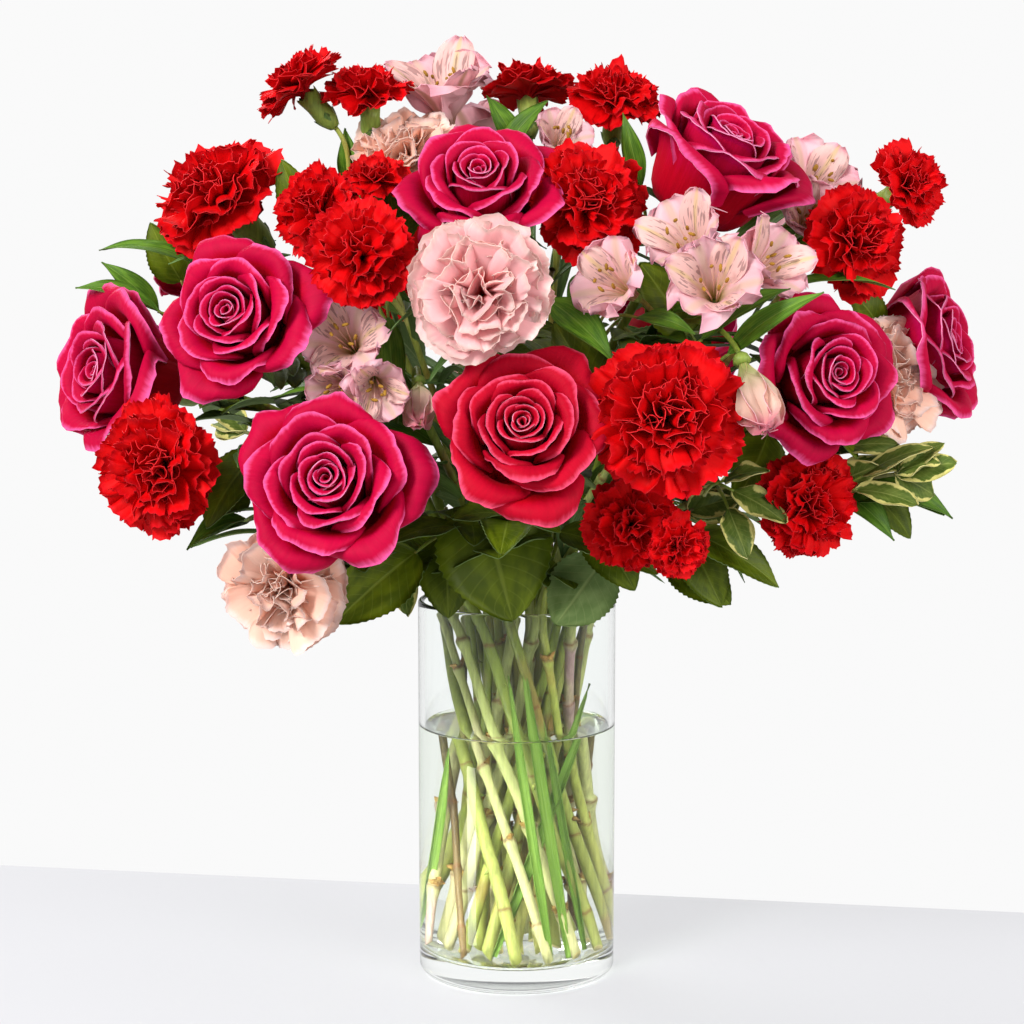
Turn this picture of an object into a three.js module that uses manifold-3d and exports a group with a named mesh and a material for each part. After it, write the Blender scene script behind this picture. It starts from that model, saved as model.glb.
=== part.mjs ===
// Roses, carnations and alstroemeria standing in a glass cylinder vase of water.
//
// Millimetres, +Z up. The origin is the middle of the vase's foot, on the surface it stands on, and -Y is
// the front of the arrangement. Each cut stem is straight inside the vase and curves out above the rim to
// its bloom.
import * as THREE from "three";
import { mergeVertices } from "three/addons/utils/BufferGeometryUtils.js";
import Module from "manifold-3d";

const wasm = await Module();
wasm.setup();

// ---- Driving dimensions ----

const VASE = { radius: 50, height: 192, wall: 3, floor: 12.5, corner: 4, lip: 1.2, segments: 40 };
const WATER_LEVEL = 127;
const WATER_GAP = 0.4; // between the water and the glass
const GAP = 0.4; // left round a piece that a neighbour presses against
const MOUTH = 178; // height at which a stem starts to curve
const FOOT = 15.5; // height of a stem's cut end
const STEM_SIDES = 6;
const STEM_STEPS = 9;
const BRANCH_STEPS = 3;

// Three rings of stems, one inside another. The stems of a ring all lean the same way round, as the rulings
// of a hyperboloid do, so that they pass each other without touching. Neighbouring rings lean opposite ways.
const RINGS = {
  outer: { mouth: 37, foot: 40, twist: 92 },
  middle: { mouth: 26, foot: 28, twist: -98 },
  inner: { mouth: 13, foot: 15, twist: 88 },
};

// Outlines of the blooms, as [radius, height] in shares of the bloom's width, from the calyx up.
const OUTLINES = {
  rose: [
    [0, -0.3], [0.1, -0.3], [0.3, -0.22], [0.44, -0.06],
    [0.5, 0.06], [0.43, 0.17], [0.24, 0.23], [0, 0.22],
  ],
  carnation: [[0, -0.16], [0.09, -0.16], [0.34, -0.08], [0.5, 0.02], [0.46, 0.14], [0.28, 0.24], [0, 0.27]],
  trumpet: [[0, -0.62], [0.09, -0.58], [0.16, -0.28], [0.5, 0.16], [0.44, 0.19], [0.12, -0.04], [0, -0.06]],
  bud: [[0, -1.4], [0.22, -1.25], [0.5, -0.35], [0.36, 0.5], [0, 0.8]],
};

// Outlines of the calyxes, likewise. A single bloom's ends a gap below its petals, and a spray's runs into
// them.
const CALYXES = {
  rose: [[0, -0.5], [0.045, -0.5], [0.12, -0.38], [0.09, -0.306], [0, -0.306]],
  carnation: [[0, -0.55], [0.05, -0.55], [0.1, -0.4], [0.09, -0.169], [0, -0.169]],
  spray: [[0, -0.55], [0.05, -0.55], [0.1, -0.4], [0.09, -0.1], [0, -0.1]],
};

const SEGMENTS = { rose: 14, carnation: 14, spray: 10, trumpet: 6, bud: 6, calyx: 6 };
const STEM_RADIUS = { rose: 2.9, carnation: 2.3, spray: 2.1, alstroemeria: 2.6, pittosporum: 1.7 };
const BRANCH_RADIUS = 1.2;

// ---- The arrangement ----
// Each bloom: its middle in millimetres, [azimuth, elevation] in degrees of the way it faces, and its width.
// Azimuth is measured from +X towards +Y, so that -90 faces the front. slot says where the stem stands in the
// vase: its ring, and the azimuth at which it passes the mouth.

const bloom = (at, faces, width, shape) => ({ at, faces, width, shape });
const single = (kind) => (name, slot, ...rest) => ({ name, kind, slot, blooms: [bloom(...rest)] });
const rose = single("rose");
const carnation = single("carnation");

const PLANTS = [
  rose("rose_front_centre", ["outer", -92], [2, -140, 288], [-89, 24], 80),
  rose("rose_front_left", ["outer", -115], [-82, -134, 268], [-98, 20], 84),
  rose("rose_left", ["middle", -152], [-127, -106, 339], [-108, 18], 76),
  rose("rose_far_left", ["outer", 178], [-187, -44, 308], [-146, 6], 84),
  rose("rose_behind_left", ["middle", 150], [-160, 38, 366], [164, 30], 72),
  rose("rose_top_centre", ["inner", -102], [-17, -82, 396], [-94, 44], 80),
  rose("rose_top_right", ["inner", -26], [96, -56, 410], [-58, 42], 86),
  rose("rose_right", ["middle", -20], [143, -92, 311], [-66, 12], 76),
  rose("rose_far_right", ["outer", 16], [199, -16, 320], [-24, 16], 80),
  rose("rose_back", ["outer", 62], [88, 112, 318], [56, 22], 78),

  carnation("carnation_pink_centre", ["middle", -97], [-16, -137, 352], [-91, 12], 74),
  carnation("carnation_red_right", ["middle", -71], [66, -134, 296], [-86, 6], 76),
  carnation("carnation_red_lower_left", ["outer", -160], [-166, -96, 270], [-118, 2], 66),
  carnation("carnation_pink_lower_left", ["outer", -138], [-108, -96, 213], [-106, -10], 66),
  carnation("carnation_red_upper_left", ["middle", 180], [-142, -40, 394], [-140, 46], 72),
  carnation("carnation_pink_top", ["inner", 150], [-54, -22, 416], [-112, 58], 58),
  carnation("carnation_red_top", ["inner", -64], [33, -74, 391], [-74, 26], 62),
  carnation("carnation_pink_right", ["outer", -4], [178, -46, 307], [-44, 6], 68),
  carnation("carnation_red_lower_right", ["outer", -46], [136, -86, 250], [-62, -2], 56),
  carnation("carnation_red_back", ["middle", 106], [-52, 124, 352], [108, 24], 72),
  carnation("carnation_pink_back", ["outer", 100], [-4, 142, 282], [92, 8], 70),

  {
    name: "spray_carnation_left", kind: "spray", slot: ["inner", -138], branchAt: [-52, -52, 334],
    blooms: [
      bloom([-70, -116, 367], [-86, 12], 52),
      bloom([-93, -78, 387], [-118, 26], 46),
      bloom([-66, -72, 402], [-84, 58], 34),
    ],
  },
  {
    name: "spray_carnation_top_left", kind: "spray", slot: ["inner", -176], branchAt: [-82, -12, 368],
    blooms: [
      bloom([-106, -20, 447], [-172, 48], 48),
      bloom([-72, -18, 444], [-96, 74], 46),
    ],
  },
  {
    name: "spray_carnation_top", kind: "spray", slot: ["inner", 58], branchAt: [22, 14, 384],
    blooms: [
      bloom([5, 12, 446], [100, 68], 46),
      bloom([49, -4, 442], [-82, 62], 50),
    ],
  },
  {
    name: "spray_carnation_right", kind: "spray", slot: ["middle", 6], branchAt: [118, -12, 330],
    blooms: [
      bloom([160, -56, 372], [-64, 14], 56),
      bloom([189, -28, 399], [-44, 28], 46),
    ],
  },
  {
    name: "spray_carnation_lower", kind: "spray", slot: ["outer", -69], branchAt: [36, -62, 238],
    blooms: [
      bloom([52, -112, 244], [-92, 4], 46),
      bloom([73, -122, 236], [-72, -6], 32),
    ],
  },

  {
    name: "alstroemeria_left", kind: "alstroemeria", slot: ["middle", -124], branchAt: [-48, -50, 296],
    blooms: [
      bloom([-79, -106, 330], [-100, 20], 44, "trumpet"),
      bloom([-82, -112, 306], [-112, -10], 30, "trumpet"),
      bloom([-64, -116, 307], [-84, -16], 30, "trumpet"),
      bloom([-45, -104, 298], [-88, -46], 13, "bud"),
    ],
  },
  {
    name: "alstroemeria_right", kind: "alstroemeria", slot: ["middle", -45], branchAt: [62, -58, 322],
    blooms: [
      bloom([42, -116, 356], [-128, 22], 40, "trumpet"),
      bloom([88, -124, 356], [-96, 26], 46, "trumpet"),
      bloom([76, -98, 376], [-122, 40], 42, "trumpet"),
      bloom([117, -90, 364], [-52, 30], 42, "trumpet"),
      bloom([107, -132, 303], [-62, -54], 18, "bud"),
    ],
  },
  {
    name: "alstroemeria_top", kind: "alstroemeria", slot: ["inner", 104], branchAt: [-20, 16, 376],
    blooms: [
      bloom([-37, -2, 450], [-104, 62], 54, "trumpet"),
      bloom([22, -26, 424], [-70, 40], 32, "trumpet"),
      bloom([-20, 60, 424], [96, 44], 46, "trumpet"),
    ],
  },
  {
    name: "alstroemeria_far_right", kind: "alstroemeria", slot: ["inner", 16], branchAt: [104, -2, 358],
    blooms: [
      bloom([148, -16, 404], [-52, 48], 46, "trumpet"),
      bloom([140, -44, 386], [-80, 30], 34, "trumpet"),
      bloom([136, 52, 372], [34, 32], 46, "trumpet"),
    ],
  },
];

// Woody greenery, by where its tip is. Its pairs of leaves grow along the stretch that spreads over the rim.
const GREENERY = [
  { name: "pittosporum_right", kind: "pittosporum", slot: ["outer", -25], tip: [196, -76, 262] },
  { name: "pittosporum_left", kind: "pittosporum", slot: ["outer", 140], tip: [-148, 96, 268] },
];

const SPRIG = { pairs: 4, from: 0.74, to: 0.98, leafLength: 36, leafWidth: 18 };

// Broad rose leaves that hang over the rim, by the middle of the leaf's foot and of its tip.
const LEAVES = [
  { name: "rose_leaf_front", foot: [-12, -66, 246], tip: [-2, -78, 196], width: 50 },
  { name: "rose_leaf_front_left", foot: [-34, -56, 232], tip: [-33, -66, 193], width: 30 },
  { name: "rose_leaf_front_right", foot: [38, -60, 224], tip: [16, -76, 194], width: 36 },
  { name: "rose_leaf_low_left", foot: [-48, -72, 226], tip: [-86, -84, 194], width: 32 },
  { name: "rose_leaf_low_right", foot: [74, -74, 226], tip: [100, -92, 204], width: 26 },
];
const LEAF_THICKNESS = 1.2;

// ---- Materials ----

const finish = (color, roughness) => new THREE.MeshStandardMaterial({ color, roughness, metalness: 0 });
const GLASS = finish(0xe9f0ee, 0.05);
GLASS.transparent = true;
GLASS.opacity = 0.3;
const WATER = finish(0xdfe9e2, 0.05);
WATER.transparent = true;
WATER.opacity = 0.4;
const ROSE_PINK = finish(0xd61f63, 0.6);
const CARNATION_RED = finish(0xc90e12, 0.7);
const CARNATION_PINK = finish(0xf3c2b8, 0.7);
const ALSTROEMERIA_PINK = finish(0xe3b3b6, 0.6);
const STEM_GREEN = finish(0x7f9a45, 0.5);
const LEAF_GREEN = finish(0x466b22, 0.5);

// ---- Solids ----

// A closed geometry as a manifold solid, moved by a matrix.
function solidOf(geometry, matrix = new THREE.Matrix4()) {
  const bare = geometry.clone();
  bare.deleteAttribute("normal");
  bare.deleteAttribute("uv");
  bare.applyMatrix4(matrix);
  const merged = mergeVertices(bare, 1e-4);
  const vertProperties = merged.attributes.position.array;
  const triVerts = new Uint32Array(merged.index.array);
  return new wasm.Manifold(new wasm.Mesh({ numProp: 3, vertProperties, triVerts }));
}

// The mesh of a solid, with its geometry in its own frame and the frame set as the mesh's place.
function meshOf(name, solid, material, frame = new THREE.Matrix4()) {
  const made = solid.getMesh();
  const geometry = new THREE.BufferGeometry();
  geometry.setAttribute("position", new THREE.BufferAttribute(new Float32Array(made.vertProperties), 3));
  geometry.setIndex(new THREE.BufferAttribute(new Uint32Array(made.triVerts), 1));
  geometry.applyMatrix4(frame.clone().invert());
  geometry.computeVertexNormals();
  const mesh = new THREE.Mesh(geometry, material);
  mesh.name = name;
  mesh.applyMatrix4(frame);
  return mesh;
}

const joined = (solids) => solids.reduce((all, one) => all.add(one));

// What is left of a solid once its neighbours are taken away: its largest body.
function clearOf(solid, neighbours) {
  const left = neighbours.reduce((rest, one) => rest.subtract(one), solid);
  return left.decompose().reduce((best, body) => (body.volume() > best.volume() ? body : best));
}

// A turned solid of an outline in shares of scale, fatter by extra all round.
function lathe(outline, scale, segments, extra = 0) {
  const heights = outline.map(([, h]) => h);
  const middle = (Math.min(...heights) + Math.max(...heights)) / 2;
  const points = outline.map(
    ([r, h]) => new THREE.Vector2(r * scale + (r && extra), h * scale + Math.sign(h - middle) * extra),
  );
  return new THREE.LatheGeometry(points, segments);
}

// A tube of a regular section along a curve.
function tube(path, radius, steps = 1) {
  const section = new THREE.Shape();
  for (let i = 0; i < STEM_SIDES; i++) {
    const angle = (i * 2 * Math.PI) / STEM_SIDES;
    section[i ? "lineTo" : "moveTo"](radius * Math.cos(angle), radius * Math.sin(angle));
  }
  section.closePath();
  return solidOf(new THREE.ExtrudeGeometry(section, { steps, bevelEnabled: false, extrudePath: path }));
}

const vector = (list) => new THREE.Vector3(...list);

function direction([azimuth, elevation]) {
  const [a, e] = [THREE.MathUtils.degToRad(azimuth), THREE.MathUtils.degToRad(elevation)];
  return new THREE.Vector3(Math.cos(a) * Math.cos(e), Math.sin(a) * Math.cos(e), Math.sin(e));
}

function onCircle(radius, azimuth, height) {
  const a = THREE.MathUtils.degToRad(azimuth);
  return new THREE.Vector3(radius * Math.cos(a), radius * Math.sin(a), height);
}

// The frame of a bloom: its origin at the bloom's middle and +Y the way that it faces.
function bloomFrame({ at, faces }) {
  const turn = new THREE.Quaternion().setFromUnitVectors(new THREE.Vector3(0, 1, 0), direction(faces));
  return new THREE.Matrix4().compose(vector(at), turn, new THREE.Vector3(1, 1, 1));
}

// The point on a bloom's axis, in shares of its width from its middle.
const along = (b, share) => vector(b.at).addScaledVector(direction(b.faces), share * b.width);

// ---- Stems ----

// The straight part of a stem, from its cut end to the vase's mouth.
function footing([ringName, azimuth]) {
  const ring = RINGS[ringName];
  return [onCircle(ring.foot, azimuth + ring.twist, FOOT), onCircle(ring.mouth, azimuth, MOUTH)];
}

// The path of a stem: straight from its foot to the mouth, then one curve that arrives at end along heading.
function stemPath(slot, end, heading, ease = 0.42) {
  const [foot, mouth] = footing(slot);
  const reach = mouth.distanceTo(end);
  const rise = mouth.clone().sub(foot).normalize();
  const path = new THREE.CurvePath();
  path.add(new THREE.LineCurve3(foot, mouth));
  path.add(
    new THREE.CubicBezierCurve3(
      mouth,
      mouth.clone().addScaledVector(rise, reach * ease),
      end.clone().addScaledVector(heading, -reach * ease),
      end,
    ),
  );
  return path;
}

// The way a branching point is left: from the mouth's middle towards the blooms.
function branchHeading(branchAt) {
  return branchAt.clone().sub(new THREE.Vector3(0, 0, MOUTH)).normalize();
}

function branchPath(from, heading, end, arrival) {
  const reach = from.distanceTo(end);
  return new THREE.CubicBezierCurve3(
    from,
    from.clone().addScaledVector(heading, reach * 0.35),
    end.clone().addScaledVector(arrival, -reach * 0.35),
    end,
  );
}

// Where a bloom's petals meet its stem, as a share of its width.
const NECK = { rose: -0.48, carnation: -0.53, spray: -0.53, trumpet: -0.58, bud: -1.25 };
const kindOf = (plant, b) => b.shape ?? plant.kind;

// The stem of a plant with its branches and calyxes, fatter by extra all round.
function stemSolid(plant, extra) {
  const radius = STEM_RADIUS[plant.kind] + extra;
  const parts = [];
  if (plant.branchAt) {
    const fork = vector(plant.branchAt);
    const heading = branchHeading(fork);
    parts.push(tube(stemPath(plant.slot, fork, heading), radius, STEM_STEPS));
    for (const b of plant.blooms) {
      const path = branchPath(
        fork.clone().addScaledVector(heading, -3),
        heading,
        along(b, NECK[kindOf(plant, b)]),
        direction(b.faces),
      );
      parts.push(tube(path, BRANCH_RADIUS + extra, BRANCH_STEPS));
    }
  } else {
    const [b] = plant.blooms;
    const path = stemPath(plant.slot, along(b, NECK[plant.kind]), direction(b.faces));
    parts.push(tube(path, radius, STEM_STEPS));
  }
  for (const b of plant.blooms) {
    const outline = CALYXES[kindOf(plant, b)];
    if (outline) parts.push(solidOf(lathe(outline, b.width, SEGMENTS.calyx, extra), bloomFrame(b)));
  }
  return joined(parts);
}

// The petals of a bloom, grown by extra all round.
function petalsSolid(plant, b, extra) {
  const kind = kindOf(plant, b);
  const outline = OUTLINES[kind === "spray" ? "carnation" : kind];
  return solidOf(lathe(outline, b.width, SEGMENTS[kind], extra), bloomFrame(b));
}

// ---- Greenery ----

// A flat leaf from foot to tip, with its face turned as far as it can be towards facing.
function leafSolid(foot, tip, width, facing) {
  const length = foot.distanceTo(tip);
  const outline = new THREE.Shape();
  outline.moveTo(0, 0);
  outline.quadraticCurveTo(width * 0.62, length * 0.2, width * 0.46, length * 0.5);
  outline.quadraticCurveTo(width * 0.3, length * 0.8, 0, length);
  outline.quadraticCurveTo(-width * 0.3, length * 0.8, -width * 0.46, length * 0.5);
  outline.quadraticCurveTo(-width * 0.62, length * 0.2, 0, 0);
  const options = { depth: LEAF_THICKNESS, bevelEnabled: false, curveSegments: 2 };
  const y = tip.clone().sub(foot).normalize();
  const z = facing.clone().addScaledVector(y, -facing.dot(y)).normalize();
  const frame = new THREE.Matrix4().makeBasis(y.clone().cross(z), y, z).setPosition(foot);
  return solidOf(new THREE.ExtrudeGeometry(outline, options), frame);
}

function greenerySolid(plant, extra, withLeaves) {
  const tip = vector(plant.tip);
  const outward = tip.clone().setZ(0).normalize();
  const path = stemPath(plant.slot, tip, outward.clone().setZ(0.2).normalize());
  const parts = [tube(path, STEM_RADIUS[plant.kind] + extra, STEM_STEPS)];
  const up = new THREE.Vector3(0, 0, 1);
  const facing = new THREE.Vector3(0, Math.sign(tip.y), 1);
  for (let i = 0; withLeaves && i < SPRIG.pairs; i++) {
    const share = THREE.MathUtils.lerp(SPRIG.from, SPRIG.to, i / (SPRIG.pairs - 1));
    const from = path.getPointAt(share);
    const ahead = path.getTangentAt(share);
    for (const side of [-1, 1]) {
      const across = ahead.clone().cross(up).multiplyScalar(side);
      const reach = ahead.clone().multiplyScalar(0.75).add(across).normalize();
      const to = from.clone().addScaledVector(reach, SPRIG.leafLength);
      parts.push(leafSolid(from, to, SPRIG.leafWidth, facing));
    }
  }
  return joined(parts);
}

// ---- Vase and water ----

function vaseSolid() {
  const { radius, height, wall, floor, corner, lip, segments } = VASE;
  const inside = radius - wall;
  const outline = [
    [0, 0], [radius - corner, 0], [radius - 0.3 * corner, 0.3 * corner], [radius, corner],
    [radius, height - lip], [radius - lip, height], [inside + lip, height], [inside, height - lip],
    [inside, floor + corner], [inside - corner, floor], [0, floor],
  ];
  return solidOf(lathe(outline, 1, segments), new THREE.Matrix4().makeRotationX(Math.PI / 2));
}

function waterSolid() {
  const { radius, wall, floor, corner, segments } = VASE;
  const edge = radius - wall - WATER_GAP;
  const bottom = floor + WATER_GAP;
  const outline = [
    [0, bottom], [edge - corner, bottom], [edge, bottom + corner],
    [edge, WATER_LEVEL], [0, WATER_LEVEL],
  ];
  return solidOf(lathe(outline, 1, segments), new THREE.Matrix4().makeRotationX(Math.PI / 2));
}

// ---- Assembly ----

const arrangement = new THREE.Group();

const vase = vaseSolid();
arrangement.add(meshOf("vase", vase, GLASS));

const stems = new Map();
const clearances = new Map();
for (const plant of PLANTS) {
  stems.set(plant.name, stemSolid(plant, 0));
  clearances.set(plant.name, stemSolid(plant, GAP));
}
for (const plant of GREENERY) {
  stems.set(plant.name, greenerySolid(plant, 0, false));
  clearances.set(plant.name, greenerySolid(plant, GAP, false));
}

const water = [...PLANTS, ...GREENERY].reduce((rest, plant) => {
  const [foot, mouth] = footing(plant.slot);
  const below = foot.clone().lerp(mouth, -0.1);
  return rest.subtract(tube(new THREE.LineCurve3(below, mouth), STEM_RADIUS[plant.kind] + GAP));
}, waterSolid());
arrangement.add(meshOf("water", water, WATER));

// Petals are soft, so each bloom gives way to the stems beside it and to the blooms made before it.
const pressed = [];
const PETAL_COLOURS = { rose: ROSE_PINK, spray: CARNATION_RED, alstroemeria: ALSTROEMERIA_PINK };
for (const plant of PLANTS) {
  const alone = !plant.branchAt;
  const inTheWay = [...clearances].filter(([name]) => alone || name !== plant.name);
  const neighbours = [...inTheWay.map(([, solid]) => solid), ...pressed];
  const petals = plant.blooms.map((b) => clearOf(petalsSolid(plant, b, 0), neighbours));
  pressed.push(...plant.blooms.map((b) => petalsSolid(plant, b, GAP)));
  const colour = PETAL_COLOURS[plant.kind] ?? (plant.name.includes("pink") ? CARNATION_PINK : CARNATION_RED);
  if (alone) {
    arrangement.add(meshOf(plant.name, petals[0], colour, bloomFrame(plant.blooms[0])));
    arrangement.add(meshOf(plant.name + "_stem", stems.get(plant.name), STEM_GREEN));
  } else {
    const whole = joined([stems.get(plant.name), ...petals]);
    arrangement.add(meshOf(plant.name, clearOf(whole, []), colour));
  }
}

for (const plant of GREENERY) {
  const others = [...clearances].filter(([name]) => name !== plant.name).map(([, solid]) => solid);
  const sprig = clearOf(greenerySolid(plant, 0, true), [...others, ...pressed, vase]);
  arrangement.add(meshOf(plant.name, sprig, LEAF_GREEN));
}

const FRONT = new THREE.Vector3(0, -1, 0);
const hung = [];
for (const { name, foot, tip, width } of LEAVES) {
  const leaf = leafSolid(vector(foot), vector(tip), width, FRONT);
  const kept = clearOf(leaf, [...clearances.values(), ...pressed, vase, ...hung]);
  hung.push(leaf);
  arrangement.add(meshOf(name, kept, LEAF_GREEN));
}

export default arrangement;
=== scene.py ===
"""Dresses a packed bouquet: roses, carnations, spray carnations and alstroemeria in a glass vase of water.

Places are millimetres in the frame's own axes, +Z up and -Y to the front. Sizes inside a bloom are shares of
its width. Meshes are built in metres.
"""

import logging
import math
from dataclasses import dataclass, field, replace
from enum import Enum
from typing import Callable, Iterator, Sequence

import bpy
import numpy as np
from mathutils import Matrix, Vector


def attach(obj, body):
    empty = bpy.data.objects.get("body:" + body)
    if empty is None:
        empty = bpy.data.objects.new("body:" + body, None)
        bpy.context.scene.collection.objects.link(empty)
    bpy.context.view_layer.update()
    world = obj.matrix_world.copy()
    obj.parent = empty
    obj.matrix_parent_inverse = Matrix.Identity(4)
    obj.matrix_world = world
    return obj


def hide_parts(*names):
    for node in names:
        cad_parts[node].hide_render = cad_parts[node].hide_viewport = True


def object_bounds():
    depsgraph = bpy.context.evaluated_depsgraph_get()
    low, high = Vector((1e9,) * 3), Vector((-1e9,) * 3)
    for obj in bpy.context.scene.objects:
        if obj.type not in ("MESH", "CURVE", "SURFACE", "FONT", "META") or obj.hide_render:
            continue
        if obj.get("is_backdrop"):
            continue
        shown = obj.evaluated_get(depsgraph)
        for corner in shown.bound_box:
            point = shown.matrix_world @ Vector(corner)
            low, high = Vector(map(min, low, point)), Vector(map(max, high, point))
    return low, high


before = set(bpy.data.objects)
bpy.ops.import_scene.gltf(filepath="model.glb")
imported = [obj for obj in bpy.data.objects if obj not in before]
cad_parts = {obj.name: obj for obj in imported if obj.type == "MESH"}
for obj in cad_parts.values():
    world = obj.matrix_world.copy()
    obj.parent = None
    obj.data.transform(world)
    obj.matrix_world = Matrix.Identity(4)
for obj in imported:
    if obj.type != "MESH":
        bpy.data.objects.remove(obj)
CAD_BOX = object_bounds()

MM = 0.001
ROOT = "root"
LIE = "lie"
LOG = logging.getLogger("bouquet")
UP = np.array([0.0, 0.0, 1.0])
LEVEL = np.array([1.0, 1.0, 0.0])
GOLDEN_ANGLE = math.radians(137.5)
TINY = 1e-12

Point = tuple[float, float, float]
Aim = tuple[float, float]
Colour = tuple[float, float, float]
Stops = Sequence[tuple[float, Colour]]
Socket = bpy.types.NodeSocket


def between(pair: tuple[float, float], share: float) -> float:
    """The value that is a share of the way from the first of a pair to the second."""
    return pair[0] + (pair[1] - pair[0]) * share


def srgb(red: int, green: int, blue: int) -> Colour:
    """Turns the parts of a display colour, 0 to 255, into linear light, 0 to 1."""
    parts = (part / 255 for part in (red, green, blue))
    return tuple(((part + 0.055) / 1.055) ** 2.4 if part > 0.04 else part / 12.92 for part in parts)


# ---- Geometry ----


def unit(vector: np.ndarray) -> np.ndarray:
    """The vector at length 1."""
    return vector / max(float(np.linalg.norm(vector)), 1e-9)


def units(rows: np.ndarray) -> np.ndarray:
    """Each row at length 1."""
    return rows / np.linalg.norm(rows, axis=1, keepdims=True)


def circle(count: int) -> np.ndarray:
    """Angles spread evenly over a full turn."""
    return np.linspace(0, 2 * math.pi, count, endpoint=False)


def direction(azimuth: float, elevation: float) -> np.ndarray:
    """The unit vector of an azimuth from +X towards +Y and an elevation, in degrees."""
    a, e = math.radians(azimuth), math.radians(elevation)
    return np.array([math.cos(a) * math.cos(e), math.sin(a) * math.cos(e), math.sin(e)])


def ease(x: np.ndarray | float, low: float, high: float) -> np.ndarray:
    """Rises smoothly from 0 at low to 1 at high."""
    share = np.clip((np.asarray(x, float) - low) / (high - low), 0, 1)
    return share * share * (3 - 2 * share)


def ripple(x: np.ndarray, rng: np.random.Generator, waves: float, count: int = 3) -> np.ndarray:
    """A smooth irregular wave.

    Args:
        x: Where the wave is wanted.
        rng: Draws the parts of the wave.
        waves: About how many waves there are for each unit of x.
        count: How many sines are summed.

    Returns:
        Values of about -1 to 1, in the shape of x.
    """
    total = np.zeros_like(np.asarray(x, float))
    for _ in range(count):
        total += np.sin(2 * math.pi * waves * rng.uniform(0.6, 1.5) * x + rng.uniform(0, 2 * math.pi))
    return total / count**0.7


def swung(out: np.ndarray, aside: np.ndarray, up: np.ndarray, azimuth: float) -> np.ndarray:
    """Points given outwards, sideways and upwards, swung round an axis to an azimuth in radians."""
    c, s = math.cos(azimuth), math.sin(azimuth)
    return np.stack([out * c - aside * s, out * s + aside * c, up], axis=-1)


def bezier(points: Sequence[np.ndarray], share: np.ndarray) -> np.ndarray:
    """Points on a cubic curve.

    Args:
        points: Its four control points.
        share: Where on it, 0 to 1.

    Returns:
        One point for each share, as rows.
    """
    t = share[:, None]
    a, b, c, d = (np.asarray(p, float) for p in points)
    return (1 - t) ** 3 * a + 3 * (1 - t) ** 2 * t * b + 3 * (1 - t) * t**2 * c + t**3 * d


def sweep(path: np.ndarray, radii: np.ndarray, sides: int) -> np.ndarray:
    """Rings round a path.

    Args:
        path: The points of the path.
        radii: The radius at each point.
        sides: How many points each ring has.

    Returns:
        Points as rings by sides.
    """
    ahead = units(np.gradient(path, axis=0))
    side = unit(np.cross(ahead[0], [0.31, 0.95, 0.1]))
    turns = circle(sides)[:, None]
    rings = []
    for point, forward, radius in zip(path, ahead, radii):
        side = unit(side - forward * side.dot(forward))
        rings.append(point + radius * (np.cos(turns) * side + np.sin(turns) * np.cross(forward, side)))
    return np.stack(rings)


def plain_lie(along: np.ndarray, share: float) -> np.ndarray:
    """The lie of rings along a stem, with no nodes in it."""
    return np.stack([np.zeros_like(along), along, np.full_like(along, share)], axis=-1)


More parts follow.
